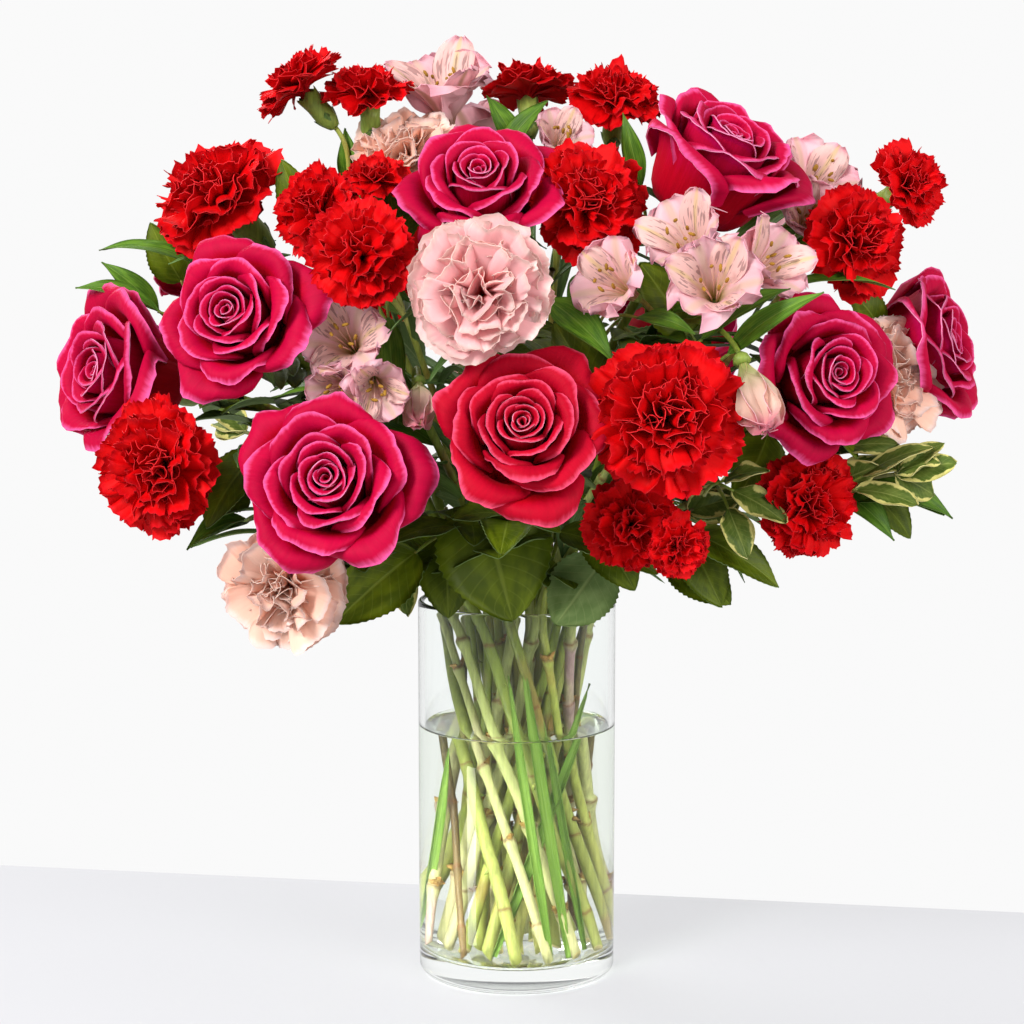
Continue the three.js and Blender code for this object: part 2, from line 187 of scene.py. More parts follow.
@dataclass
class Skin:
    """Grids of points that make up one mesh. Each point has a lie: across, along and a random share."""

    points: list[np.ndarray] = field(default_factory=list)
    lies: list[np.ndarray] = field(default_factory=list)
    faces: list[list[int]] = field(default_factory=list)
    finishes: list[int] = field(default_factory=list)
    count: int = 0

    def _quads(self, index: np.ndarray, finish: int, flip: bool = False) -> None:
        """Adds the quads of a grid of point numbers."""
        a, b, c, d = index[:-1, :-1], index[:-1, 1:], index[1:, 1:], index[1:, :-1]
        order = [a, d, c, b] if flip else [a, b, c, d]
        quads = np.stack(order, axis=-1).reshape(-1, 4).tolist()
        self.faces += quads
        self.finishes += [finish] * len(quads)

    def _points(self, grid: np.ndarray, lie: np.ndarray) -> np.ndarray:
        """Adds points and returns their numbers, in the shape of the grid."""
        rows, cols = grid.shape[:2]
        index = np.arange(rows * cols).reshape(rows, cols) + self.count
        self.points.append(grid.reshape(-1, 3))
        self.lies.append(lie.reshape(-1, 3))
        self.count += rows * cols
        return index

    def tube(self, rings: np.ndarray, lie: np.ndarray, finish: int = 0, foot: int | None = None) -> None:
        """Adds a closed tube.

        Args:
            rings: Points as rings by sides, each ring counter-clockwise seen from its far end.
            lie: The lie of each point, or one lie for each ring.
            finish: The number of its material.
            foot: The number of the material of its first end, where that is another.
        """
        if lie.ndim == 2:
            lie = np.repeat(lie[:, None, :], rings.shape[1], axis=1)
        index = self._points(rings, lie)
        around = np.concatenate([index, index[:, :1]], axis=1)
        self._quads(around, finish)
        self.faces += [index[0, ::-1].tolist(), index[-1].tolist()]
        self.finishes += [finish if foot is None else foot, finish]

    def stick(self, path: np.ndarray, radii: np.ndarray, sides: int, finish: int, share: float) -> None:
        """Adds a plain tube along a path, with no nodes in its lie."""
        self.tube(sweep(path, radii, sides), plain_lie(np.linspace(0, 1, len(path)), share), finish)

    def petal(self, grid: np.ndarray, share: float, thickness: float, finishes: Sequence[int] = (0, 1, 2)) -> None:
        """Adds a thin closed sheet on a grid of points.

        Args:
            grid: Points as rows along by columns across.
            share: The sheet's own random share.
            thickness: How far the sheet's face lies behind its back.
            finishes: The materials of its back, its face and its rim.
        """
        rows, cols = grid.shape[:2]
        v, u = np.meshgrid(np.linspace(0, 1, rows), np.linspace(-1, 1, cols), indexing="ij")
        lie = np.stack([u, v, np.full_like(u, share)], axis=-1)
        across, along = np.gradient(grid, axis=1), np.gradient(grid, axis=0)
        normal = np.cross(across, along)
        length = np.linalg.norm(normal, axis=2, keepdims=True)
        normal = np.where(length > TINY, normal / np.maximum(length, TINY), 0)
        back = self._points(grid, lie)
        face = self._points(grid - normal * thickness, lie)
        self._quads(back, finishes[0])
        self._quads(face, finishes[1], flip=True)
        rim = [(row, 0) for row in range(rows)] + [(rows - 1, col) for col in range(1, cols)]
        rim += [(row, cols - 1) for row in range(rows - 2, -1, -1)] + [(0, col) for col in range(cols - 2, -1, -1)]
        around = tuple(np.array(rim).T)
        self._quads(np.stack([back[around], face[around]]), finishes[2], flip=True)

    def object(
        self, name: str, materials: Sequence[bpy.types.Material], crease: float | None = None
    ) -> bpy.types.Object:
        """Makes the object.

        Args:
            name: The piece's name.
            materials: Its materials, in the order that the finishes count them.
            crease: The angle in degrees from which an edge is sharp, if any is.

        Returns:
            The object, in the frame's place, linked to the scene.
        """
        mesh = bpy.data.meshes.new(name)
        mesh.from_pydata(np.concatenate(self.points) * MM, [], self.faces)
        attribute = mesh.attributes.new(LIE, "FLOAT_VECTOR", "POINT")
        attribute.data.foreach_set("vector", np.concatenate(self.lies).astype(np.float32).ravel())
        mesh.polygons.foreach_set("material_index", self.finishes)
        mesh.polygons.foreach_set("use_smooth", [True] * len(self.faces))
        for material in materials:
            mesh.materials.append(material)
        mesh.update()
        if crease:
            mesh.set_sharp_from_angle(angle=math.radians(crease))
        piece = bpy.data.objects.new(name, mesh)
        bpy.context.scene.collection.objects.link(piece)
        return piece


@dataclass(frozen=True)
class Seat:
    """Where a bloom sits: its middle, the way it faces as azimuth and elevation, and its width."""

    at: Point
    faces: Aim
    width: float

    def axes(self) -> np.ndarray:
        """The bloom's own axes as rows: across, up, and the way it faces."""
        ahead = direction(*self.faces)
        side = unit(np.cross(UP, ahead))
        return np.stack([side, np.cross(ahead, side), ahead])

    def place(self, grid: np.ndarray) -> np.ndarray:
        """Puts points given in shares of the width into the frame, in millimetres."""
        return grid @ self.axes() * self.width + np.array(self.at)

    def along(self, share: float) -> np.ndarray:
        """The point on the bloom's axis that is a share of its width ahead of its middle."""
        return np.array(self.at) + direction(*self.faces) * share * self.width


# ---- Finishes ----


class Nodes:
    """A node tree, with short ways to add the nodes that are used here."""

    def __init__(self, tree: bpy.types.NodeTree) -> None:
        """Takes the tree that the nodes are added to."""
        self.tree = tree

    def node(self, kind: str, inputs: dict[str | int, object] | None = None, **settings: object) -> bpy.types.Node:
        """Adds a node.

        Args:
            kind: Its type, without the ShaderNode that all of them start with.
            inputs: Values or sockets for its inputs.
            settings: Its properties.

        Returns:
            The node.
        """
        made = self.tree.nodes.new("ShaderNode" + kind)
        for name, value in settings.items():
            setattr(made, name, value)
        for name, value in (inputs or {}).items():
            if isinstance(value, bpy.types.NodeSocket):
                self.tree.links.new(value, made.inputs[name])
            elif isinstance(value, tuple) and len(value) == 3 and made.inputs[name].type == "RGBA":
                made.inputs[name].default_value = (*value, 1)
            else:
                made.inputs[name].default_value = value
        return made

    def math(self, operation: str, first: object, second: object = 0.0) -> Socket:
        """The result of a Math node."""
        return self.node("Math", {0: first, 1: second}, operation=operation).outputs[0]

    def times(self, first: object, second: object) -> Socket:
        """Two values multiplied."""
        return self.math("MULTIPLY", first, second)

    def vary(self, base: float, value: Socket, span: float) -> Socket:
        """A base plus a span times a value."""
        return self.math("ADD", base, self.times(value, span))

    def mix(self, share: object, low: object, high: object, blend: str = "MIX") -> Socket:
        """Two colours mixed."""
        return self.node("Mix", {0: share, 6: low, 7: high}, data_type="RGBA", blend_type=blend).outputs[2]

    def ramp(self, share: Socket, stops: Stops) -> Socket:
        """A colour that runs through stops as share goes from 0 to 1."""
        made = self.node("ValToRGB", {0: share})
        made.color_ramp.interpolation = "EASE"
        elements = made.color_ramp.elements
        while len(elements) < len(stops):
            elements.new(0.5)
        for element, (at, colour) in zip(elements, stops):
            element.position = at
            element.color = (*colour, 1)
        return made.outputs[0]

    def band(self, value: Socket, low: float, high: float) -> Socket:
        """Rises from 0 at low to 1 at high, or falls where low is above high."""
        made = self.node("MapRange", {0: value, 1: low, 2: high}, interpolation_type="SMOOTHSTEP")
        return made.outputs[0]

    def noise(self, place: Socket, scale: float, detail: float) -> Socket:
        """Noise of 0 to 1 at a place."""
        return self.node("TexNoise", {"Vector": place, "Scale": scale, "Detail": detail}).outputs[0]


class Board(Nodes):
    """A material's nodes, with ways to read the lie of a surface and to put its shader together."""

    def __init__(self, name: str) -> None:
        """Starts an empty material of that name."""
        self.material = bpy.data.materials.new(name)
        self.material.use_nodes = True
        super().__init__(self.material.node_tree)
        self.tree.nodes.clear()
        attribute = self.node("Attribute", attribute_name=LIE)
        self._lie = self.node("SeparateXYZ", {0: attribute.outputs["Vector"]}).outputs

    def lie(self) -> tuple[Socket, Socket, Socket]:
        """The lie of the surface: across, along and the random share."""
        return self._lie[0], self._lie[1], self._lie[2]

    def place(self) -> Socket:
        """The place on the object, in metres."""
        return self.node("TexCoord").outputs["Object"]

    def grain(self, scale: tuple[float, float], detail: float) -> Socket:
        """Noise drawn out along a petal or a leaf, with no two alike.

        Args:
            scale: How fine the noise is across and along.
            detail: The noise's detail.

        Returns:
            The noise, 0 to 1.
        """
        across, along, share = self.lie()
        parts = {0: self.times(across, scale[0]), 1: self.times(along, scale[1]), 2: self.times(share, 37.0)}
        return self.noise(self.node("CombineXYZ", parts).outputs[0], 1.0, detail)

    def shade(self, colour: object, shade: Socket) -> Socket:
        """A colour made lighter or darker."""
        grey = self.node("CombineColor", {0: shade, 1: shade, 2: shade})
        return self.mix(1.0, colour, grey.outputs[0], "MULTIPLY")

    def bump(self, height: Socket, strength: float, distance: float) -> Socket:
        """The normal of a surface that a height makes uneven."""
        return self.node("Bump", {"Strength": strength, "Distance": distance, "Height": height}).outputs[0]

    def skin(self, colour: object, roughness: object, more: dict[str, object]) -> bpy.types.Node:
        """The main shader, with more of its inputs by name."""
        return self.node("BsdfPrincipled", {"Base Color": colour, "Roughness": roughness, **more})

    def lit(self, skin: bpy.types.Node, colour: Socket, normal: Socket, glow: float) -> bpy.types.Node:
        """A thin skin that lets a share of the light through."""
        through = self.node("BsdfTranslucent", {"Color": colour, "Normal": normal})
        return self.node("MixShader", {0: glow, 1: skin.outputs[0], 2: through.outputs[0]})

    def finish(self, shader: bpy.types.Node) -> bpy.types.Material:
        """Joins the shader to the output and returns the material."""
        self.node("OutputMaterial", {0: shader.outputs[0]})
        return self.material


@dataclass(frozen=True)
class Finish:
    """A finish with a name, which builds one material."""

    name: str

    def material(self) -> bpy.types.Material:
        """Builds the material."""
        raise NotImplementedError


@dataclass(frozen=True)
class PetalFinish(Finish):
    """The skin of a petal: a colour that runs from its foot to its edge, fine veins and a satin light."""

    foot: Colour
    blade: Colour
    edge: Colour
    blade_from: float = 0.55
    edge_from: float = 0.9
    roughness: float = 0.5
    sheen: float = 0.2
    specular: float = 0.35
    glow: float = 0.3
    vein: float = 0.12
    bump: float = 0.25
    vein_scale: tuple[float, float] = (16.0, 3.0)
    foot_to: float = 0.05

    def _marks(self, board: Board, colour: Socket) -> Socket:
        """Adds the marks of this kind of petal to its colour. A plain petal has none."""
        return colour

    def material(self) -> bpy.types.Material:
        """Builds the material."""
        board = Board(self.name)
        _, along, share = board.lie()
        veins = board.grain(self.vein_scale, 3.0)
        wander = board.math("ADD", along, board.times(board.math("SUBTRACT", veins, 0.5), 0.12))
        # The foot's colour lies deep in the bloom and the edge's on its rim: in the rose and carnation finishes
        # they hold painted shade and a painted highlight as well as the petal's own colour.
        stops = [(self.foot_to, self.foot), (self.blade_from, self.blade)]
        stops += [(self.edge_from, self.blade), (1.0, self.edge)]
        colour = self._marks(board, board.ramp(wander, stops))
        shade = board.times(board.vary(1 - self.vein, veins, 2 * self.vein), board.vary(0.93, share, 0.14))
        colour = board.shade(colour, shade)
        normal = board.bump(veins, self.bump, 0.0006)
        more = {
            "Specular IOR Level": self.specular,
            "Sheen Weight": self.sheen,
            "Sheen Roughness": 0.4,
            "Sheen Tint": self.edge,
            "Normal": normal,
        }
        return board.finish(board.lit(board.skin(colour, self.roughness, more), colour, normal, self.glow))


@dataclass(frozen=True)
class TepalFinish(PetalFinish):
    """The skin of an alstroemeria's tepal, with a stripe along its middle and flecks in its throat."""

    stripe: Colour = (0.2, 0.16, 0.05)
    stripe_weight: float = 0.5
    fleck: Colour = (0.12, 0.01, 0.02)
    fleck_weight: float = 0.0

    def _marks(self, board: Board, colour: Socket) -> Socket:
        """Adds the stripe and the flecks to a tepal's colour."""
        across, along, _ = board.lie()
        middle = board.band(board.math("ABSOLUTE", across), 0.22, 0.03)
        stripe = board.times(middle, board.times(board.band(along, 0.15, 0.6), self.stripe_weight))
        colour = board.mix(stripe, colour, self.stripe)
        grain = board.band(board.grain((9.0, 5.0), 1.0), 0.57, 0.61)
        throat = board.times(board.band(along, 0.4, 0.5), board.band(along, 0.88, 0.78))
        return board.mix(board.times(grain, board.times(throat, self.fleck_weight)), colour, self.fleck)


class Veins(Enum):
    """How the veins of a leaf run."""

    FEATHER = "feather"
    PARALLEL = "parallel"


@dataclass(frozen=True)
class LeafFinish(Finish):
    """One side of a leaf: its green, its veins, and for some a pale margin."""

    green: Colour
    dark: Colour
    vein: Colour
    veins: Veins = Veins.FEATHER
    vein_weight: float = 0.5
    roughness: float = 0.4
    margin: Colour | None = None
    glow: float = 0.18

    def _vein_mask(self, board: Board) -> Socket:
        """1 on the veins and 0 between them."""
        across, along, _ = board.lie()
        aside = board.math("ABSOLUTE", across)
        rib = board.band(aside, 0.07, 0.015)
        if self.veins is Veins.PARALLEL:
            lines = board.band(board.math("SINE", board.times(across, 34.0)), 0.5, 1.0)
        else:
            slope = board.math("SUBTRACT", board.times(along, 62.0), board.times(aside, 14.0))
            lines = board.band(board.math("SINE", slope), 0.88, 1.0)
        return board.math("MAXIMUM", rib, board.times(lines, 0.4))

    def material(self) -> bpy.types.Material:
        """Builds the material."""
        board = Board(self.name)
        across, _, share = board.lie()
        blotch = board.grain((2.5, 4.0), 3.0)
        colour = board.mix(board.band(blotch, 0.35, 0.7), self.dark, self.green)
        veins = self._vein_mask(board)
        colour = board.mix(board.times(veins, self.vein_weight), colour, self.vein)
        if self.margin:
            wander = board.times(board.math("SUBTRACT", board.grain((1.5, 7.0), 3.0), 0.5), 0.9)
            edge = board.band(board.math("ADD", board.math("ABSOLUTE", across), wander), 0.72, 0.84)
            colour = board.mix(edge, colour, self.margin)
        colour = board.shade(colour, board.vary(0.85, share, 0.3))
        normal = board.bump(board.math("SUBTRACT", board.times(blotch, 0.5), veins), 0.35, 0.0005)
        roughness = board.vary(self.roughness, blotch, 0.15)
        skin = board.skin(colour, roughness, {"Specular IOR Level": 0.2, "Normal": normal})
        return board.finish(board.lit(skin, colour, normal, self.glow))


@dataclass(frozen=True)
class StalkFinish(Finish):
    """The skin of a stem: paler at its foot, streaked lengthways, with a brown ring at each node."""

    foot: Colour
    top: Colour
    blush: Colour
    blush_weight: float = 0.35
    ring: Colour = (0.16, 0.06, 0.015)
    roughness: float = 0.42

    def material(self) -> bpy.types.Material:
        """Builds the material."""
        board = Board(self.name)
        node, along, share = board.lie()
        shift = board.node("CombineXYZ", {0: share, 1: share, 2: 0.0}).outputs[0]
        place = board.node("VectorMath", {0: board.place(), 1: shift}, operation="ADD").outputs[0]
        drawn = board.node("Mapping", {"Vector": place, "Scale": (700.0, 700.0, 28.0)}).outputs[0]
        streaks = board.noise(drawn, 1.0, 3.0)
        patches = board.noise(place, 28.0, 2.0)
        colour = board.ramp(along, [(0.0, self.foot), (0.6, self.top)])
        blush = board.times(board.band(patches, 0.5, 0.68), board.times(share, self.blush_weight))
        colour = board.mix(blush, colour, self.blush)
        colour = board.mix(board.times(node, 0.85), colour, self.ring)
        colour = board.shade(colour, board.vary(0.4, streaks, 1.15))
        more = {
            "Specular IOR Level": 0.25,
            "Subsurface Weight": 0.08,
            "Subsurface Radius": (0.002, 0.003, 0.001),
            "Subsurface Scale": 1.0,
            "Normal": board.bump(streaks, 0.4, 0.0004),
        }
        return board.finish(board.skin(colour, self.roughness, more))


@dataclass(frozen=True)
class ClearFinish(Finish):
    """Glass or water: clear, with a faint tint and a faint unevenness."""

    tint: Colour
    ior: float
    ripple_scale: float
    ripple_strength: float
    mirror: Colour = (0.3, 0.3, 0.3)

    def material(self) -> bpy.types.Material:
        """Builds the material."""
        board = Board(self.name)
        noise = board.noise(board.place(), self.ripple_scale, 1.0)
        more = {
            "IOR": self.ior,
            "Specular Tint": self.mirror,
            "Transmission Weight": 1.0,
            "Normal": board.bump(noise, self.ripple_strength, 0.0005),
        }
        clear = board.skin(self.tint, 0.0, more)
        see_through = board.node("BsdfTransparent", {"Color": self.tint})
        shadow = board.node("LightPath").outputs["Is Shadow Ray"]
        return board.finish(board.node("MixShader", {0: shadow, 1: clear.outputs[0], 2: see_through.outputs[0]}))


@dataclass(frozen=True)
class FloorFinish(Finish):
    """The pale surface that the vase stands on. It also glows: painted light that lightens the bouquet's shadow on
    it.
    """

    colour: Colour
    glow: float = 0.5
    roughness: float = 0.55

    def material(self) -> bpy.types.Material:
        """Builds the material."""
        board = Board(self.name)
        noise = board.noise(board.place(), 9.0, 3.0)
        colour = board.shade(self.colour, board.vary(0.985, noise, 0.03))
        # Painted light: the table glows by its own emission, which lightens the bouquet's shadow on it and lights
        # the bouquet from below.
        more = {
            "Specular IOR Level": 0.0,
            "Emission Color": srgb(253, 253, 255),
            "Emission Strength": self.glow,
        }
        return board.finish(board.skin(colour, board.vary(self.roughness, noise, 0.1), more))


# ---- Roses ----


@dataclass
class Bloom:
    """A bloom of separate petals, each turned by the golden angle from the one before, give or take a stray."""

    seat: Seat
    seed: int
    form: "RoseForm | CarnationForm"
    stray: float = 0.2

    def _age(self, index: int) -> float:
        """0 for the innermost petal and 1 for the outermost."""
        return index / (self.form.petals - 1)

    def _petal(self, t: float, azimuth: float, rng: np.random.Generator) -> np.ndarray:
        """The grid of one petal.

        Args:
            t: 0 for the innermost petal, 1 for the outermost.
            azimuth: The way it stands, in radians about the bloom's axis.
            rng: Draws its irregularities.

        Returns:
            Rows along by columns across, in shares of the bloom's width.
        """
        raise NotImplementedError

    def petals(self, skin: Skin) -> None:
        """Adds all the petals, in the frame."""
        rng = np.random.default_rng(self.seed)
        azimuth = rng.uniform(0, 2 * math.pi)
        for i in range(self.form.petals):
            azimuth += GOLDEN_ANGLE + rng.uniform(-self.stray, self.stray)
            grid = self._petal(self._age(i), azimuth, rng)
            skin.petal(self.seat.place(grid), rng.uniform(), self.form.thickness * self.seat.width)


@dataclass(frozen=True)
class RoseForm:
    """The form of an open rose, in shares of its width. Each pair is for the innermost and outermost petal."""

    petals: int = 27
    rows: int = 17
    rim_rows: int = 9
    cols: int = 21
    foot: tuple[float, float] = (0.02, 0.07)
    foot_height: float = -0.29
    wall: tuple[float, float] = (0.018, 0.42)
    wall_power: float = 1.22
    curl: tuple[float, float] = (0.02, 0.175)
    curl_angle: tuple[float, float] = (70, 135)
    lean: tuple[float, float] = (-8, 58)
    drop: float = 0.2
    flare: float = 1.0
    thickness: float = 0.0055


OPEN = RoseForm()
CUPPED = RoseForm(
    wall=(0.018, 0.37), curl=(0.02, 0.15), curl_angle=(70, 118), lean=(-8, 34), drop=0.07, flare=0.0
)


@dataclass
class Rose(Bloom):
    """An open rose: a tight spiral in the middle, then cups, then broad petals with rolled rims."""

    stray: float = 0.12

    def _petal(self, t: float, azimuth: float, rng: np.random.Generator) -> np.ndarray:
        """The grid of one petal: a wall that rises from the foot, and a rolled rim."""
        f = self.form
        u = np.linspace(-1, 1, f.cols)
        wall = between(f.wall, t**f.wall_power) * rng.uniform(0.95, 1.05)
        top = 0.165 + 0.035 * math.sin(math.pi * min(1, 1.35 * t)) - f.drop * t**3.2
        top += rng.uniform(-0.012, 0.012)
        lean = math.radians(between(f.lean, t**2.2) + rng.uniform(-5, 5))
        foot = np.array([between(f.foot, t), f.foot_height])
        reach = 0.5 * (top - f.foot_height)
        shoulder = [wall - reach * math.sin(lean), top - reach * math.cos(lean)]
        handles = [foot, foot + [0.95 * (wall - foot[0]), 0.03], shoulder, [wall, top]]
        shape = bezier(handles, np.linspace(0, 1, f.rows - f.rim_rows))
        # outline: rounded off towards the sides
        side_drop = 1 - np.sqrt(np.maximum(0, 1 - np.abs(u) ** 2.6))
        outline = 1 - (0.34 + 0.1 * t) * side_drop + (0.006 + 0.012 * t) * ripple(u, rng, 0.9)
        r = shape[:, :1] * np.ones_like(u)
        z = foot[1] + (shape[:, 1:] - foot[1]) * outline
        keep = 0.2 + 0.65 * t**2
        r = foot[0] + (r - foot[0]) * (1 - keep * (1 - outline))
        # the rolled rim
        turn = math.radians(between(f.curl_angle, t)) * (1 + 0.22 * ripple(u, rng, 0.7))
        turn = turn * (0.8 + 0.35 * np.abs(u))
        length = between(f.curl, t**1.6) * (1 + 0.22 * ripple(u, rng, 0.6) + 0.07 * t * ripple(u, rng, 2.0))
        point = 1 + 0.36 * t**4 * rng.uniform(-0.7, 1) * np.exp(-((u / 0.5) ** 2))
        length = length * (1 - 0.8 * side_drop) * point
        steps = np.linspace(0, 1, f.rim_rows + 1)[1:, None]
        angle = lean + np.maximum(turn, 0.3) * (steps - 0.5 / f.rim_rows) ** 1.25
        r = np.concatenate([r, r[-1:] + np.cumsum(np.sin(angle) * length / f.rim_rows, axis=0)])
        z = np.concatenate([z, z[-1:] + np.cumsum(np.cos(angle) * length / f.rim_rows, axis=0)])
        along = np.linspace(0, 1, r.shape[0])[:, None] * np.ones_like(u)
        # one side tucked in and the other out, and the sides rolled back a little
        height = ease(along, 0.1, 0.7)
        r = r + f.flare * height * (0.006 + 0.016 * t) * u
        side = np.clip((np.abs(u) - 0.7) / 0.3, 0, 1) ** 2
        r = r + f.flare * height * side * (0.006 + 0.02 * t)
        z = z - ease(along, 0.5, 1) * side * 0.03 * t
        r = r + height * (0.004 + 0.012 * t) * ripple(u + 0.7 * along, rng, 0.8)
        z = z + ease(along, 0.5, 1) * t * (0.011 * ripple(u, rng, 1.2) + 0.0035 * ripple(u, rng, 3.0))
        r = r + ease(along, 0.2, 0.9) * t * 0.006 * ripple(2 * u + along, rng, 1.3)
        half = min(2.7, (0.13 + 0.25 * t) / max(wall, 0.03))
        phi = azimuth + u * half * (0.9 + 0.1 * along) * (1 - 0.3 * t * ease(along, 0.5, 1) ** 2)
        return np.stack([r * np.cos(phi), r * np.sin(phi), z], axis=-1)


# ---- Carnations ----


@dataclass(frozen=True)
class CarnationForm:
    """The form of a carnation, in shares of its width. Each pair is for the innermost and outermost petal."""

    petals: int = 46
    rows: int = 9
    cols: int = 27
    bend_steps: int = 40
    foot_height: float = -0.16
    length: tuple[float, float] = (0.38, 0.56)
    lean: tuple[float, float] = (-10, 98)
    half_width: tuple[float, float] = (0.16, 0.27)
    ruffle: tuple[float, float] = (0.055, 0.042)
    tooth: float = 0.016
    rounding: float = 0.18
    thickness: float = 0.005


@dataclass
class Carnation(Bloom):
    """A carnation: fans with toothed edges, ruffled, flat at the outside and crowded upright in the middle."""

    def _age(self, index: int) -> float:
        """0 for the innermost petal and 1 for the outermost, with more of them young."""
        return ((index + 0.5) / self.form.petals) ** 0.75

    def _petal(self, t: float, azimuth: float, rng: np.random.Generator) -> np.ndarray:
        """The grid of one petal: a bent fan, ruffled, folded, toothed and twisted."""
        f = self.form
        u = np.linspace(-1, 1, f.cols)[None, :]
        v = np.linspace(0, 1, f.rows)[:, None] ** 0.85
        length = between(f.length, t) * rng.uniform(0.85, 1.09)
        lean = math.radians(between(f.lean, t**0.85) + rng.uniform(-9, 9))
        outline = 1 - f.rounding * np.abs(u) ** 2.4 + 0.03 * ripple(u, rng, 0.8)
        reach = v * outline
        steps = np.linspace(0, 1, f.bend_steps + 1)
        angles = lean * ease(steps, 0.0, 0.5) + math.radians(rng.uniform(-10, 28)) * ease(steps, 0.5, 1)
        out = np.concatenate([[0], np.cumsum(np.sin(angles[:-1]))]) / f.bend_steps
        rise = np.concatenate([[0], np.cumsum(np.cos(angles[:-1]))]) / f.bend_steps
        r = 0.015 + 0.03 * t + length * np.interp(reach, steps, out)
        z = f.foot_height + length * np.interp(reach, steps, rise)
        angle = np.interp(reach, steps, angles)
        half = between(f.half_width, t) * rng.uniform(0.85, 1.1)
        x = u * half * (0.1 + 0.9 * ease(v, 0.12, 0.95))
        # ruffles grow towards the edge, and the middle petals are folded as well
        phase, waves = rng.uniform(0, 2 * math.pi), rng.uniform(1.3, 2.4)
        strength = between(f.ruffle, t) * rng.uniform(0.7, 1.3) * v**1.7
        lift = strength * (np.sin(waves * math.pi * u + phase) + 0.45 * ripple(u, rng, 1.5))
        x = x + 0.5 * strength * np.sin(2 * waves * math.pi * u + 2 * phase + 1.2)
        fold = math.radians(rng.uniform(20, 62) * (1 - t) ** 1.2) * rng.choice([-1, 1])
        lift = lift + np.abs(x) * np.sin(fold)
        x = x * np.cos(fold)
        # teeth
        edge = np.zeros_like(v)
        edge[-1], edge[-2] = 1, 0.25
        teeth = f.tooth * np.where(np.arange(f.cols) % 2, -0.4, 1.0) * rng.uniform(0.3, 1.3, f.cols)
        tooth = edge * teeth[None, :]
        r = r + lift * np.cos(angle) + tooth * np.sin(angle)
        z = z - lift * np.sin(angle) + tooth * np.cos(angle)
        twist = math.radians(rng.uniform(-22, 22))
        z = z + x * math.sin(twist) * math.sin(lean)
        r = r + x * math.sin(twist) * math.cos(lean)
        x = x * math.cos(twist)
        return swung(r, x, z, azimuth)


# ---- Alstroemeria ----


@dataclass(frozen=True)
class TepalForm:
    """The form of one ring of tepals, in shares of the flower's width. Angles are from the flower's axis."""

    count: int
    turn: float
    length: float
    half_width: float
    widest: float
    tip: float
    opening: tuple[float, float, float]
    cup: float
    ruffle: float
    finishes: tuple[int, int, int]
    rows: int = 17
    cols: int = 15


OUTER_TEPALS = TepalForm(3, 0.0, 0.84, 0.36, 0.74, 0.52, (10, 32, 56), 0.5, 0.085, (0, 1, 1))
INNER_TEPALS = TepalForm(3, 60.0, 0.92, 0.2, 0.74, 0.28, (12, 28, 44), 0.4, 0.034, (0, 2, 1))
BUD_TEPALS = TepalForm(5, 0.0, 2.1, 0.56, 0.5, 0.4, (22, -3, -13), 0.3, 0.09, (4, 4, 1))


@dataclass
class Alstroemeria:
    """A flower of the alstroemeria: a funnel of three broad and three narrow tepals round six stamens."""

    seat: Seat
    seed: int
    thickness: float = 0.3
    foot_height: float = -0.56
    stamen: float = 0.62
    filament: float = 0.32
    anther: float = 2.1

    def _tepal(self, form: TepalForm, azimuth: float, rng: np.random.Generator) -> np.ndarray:
        """The grid of one tepal, in shares of the flower's width."""
        u = np.linspace(-1, 1, form.cols)[None, :]
        v = np.linspace(0, 1, form.rows)[:, None]
        low, middle, high = form.opening
        nod = rng.uniform(-7, 9)
        angle = np.radians(low + (middle - low) * ease(v, 0, 0.5) + (high - middle + nod) * ease(v, 0.45, 1))
        length = form.length * rng.uniform(0.93, 1.05)
        r = 0.035 + length * np.cumsum(np.sin(angle), axis=0) / form.rows
        z = self.foot_height + length * np.cumsum(np.cos(angle), axis=0) / form.rows
        swell = ease(v, 0.02, form.widest)
        past = np.clip((v - form.widest) / (1 - form.widest), 0, 1)
        taper = form.tip + (1 - form.tip) * np.sqrt(1 - 0.999 * past**2.4)
        x = u * (form.half_width * (0.16 + 0.84 * swell) * taper)
        edge = np.abs(u) ** 1.5 * v**1.6
        lift = form.ruffle * edge * 1.6 * ripple(u + 0.9 * v, rng, 1.1)
        lift = lift + form.ruffle * edge * ripple(v + u, rng, 2.2)
        spread = np.maximum(r, 0.14)
        r = r - form.cup * x**2 / spread + lift * np.cos(angle)
        z = z - lift * np.sin(angle) + 0.25 * edge * form.ruffle * ripple(u, rng, 1.6)
        return swung(r, x, z, azimuth)

    def petals(self, skin: Skin) -> None:
        """Adds the tepals and the stamens, in the frame."""
        rng = np.random.default_rng(self.seed)
        start = rng.uniform(0, 2 * math.pi)
        for form in (OUTER_TEPALS, INNER_TEPALS):
            for i in range(form.count):
                azimuth = start + math.radians(form.turn + 360 * i / form.count + rng.uniform(-7, 7))
                grid = self.seat.place(self._tepal(form, azimuth, rng))
                skin.petal(grid, rng.uniform(), self.thickness, form.finishes)
        for i in range(6):
            self._stamen(skin, start + math.radians(60 * i + rng.uniform(-16, 16)), rng)

    def _stamen(self, skin: Skin, azimuth: float, rng: np.random.Generator) -> None:
        """Adds a filament and its anther.

        Args:
            skin: What they are added to.
            azimuth: The way it leans, in radians.
            rng: Draws its irregularities.
        """
        share = np.linspace(0, 1, 8)
        out = np.array([math.cos(azimuth), math.sin(azimuth), 0.0])
        reach = self.stamen * rng.uniform(0.8, 1.08)
        bend = 0.03 + rng.uniform(0.06, 0.13) * share**1.6
        path = self.seat.place(out * bend[:, None] + np.outer(self.foot_height + 0.06 + reach * share, UP))
        skin.stick(path, np.full(8, self.filament), 6, 1, 0.5)
        last = path[-1] - path[-2]
        ahead = unit(last + 0.5 * rng.standard_normal(3) * np.linalg.norm(last))
        grains = path[-1] + np.outer(np.linspace(-1, 1, 7) * self.anther, ahead)
        skin.stick(grains, np.array([0.05, 0.6, 0.85, 0.75, 0.85, 0.6, 0.05]), 7, 3, rng.uniform())


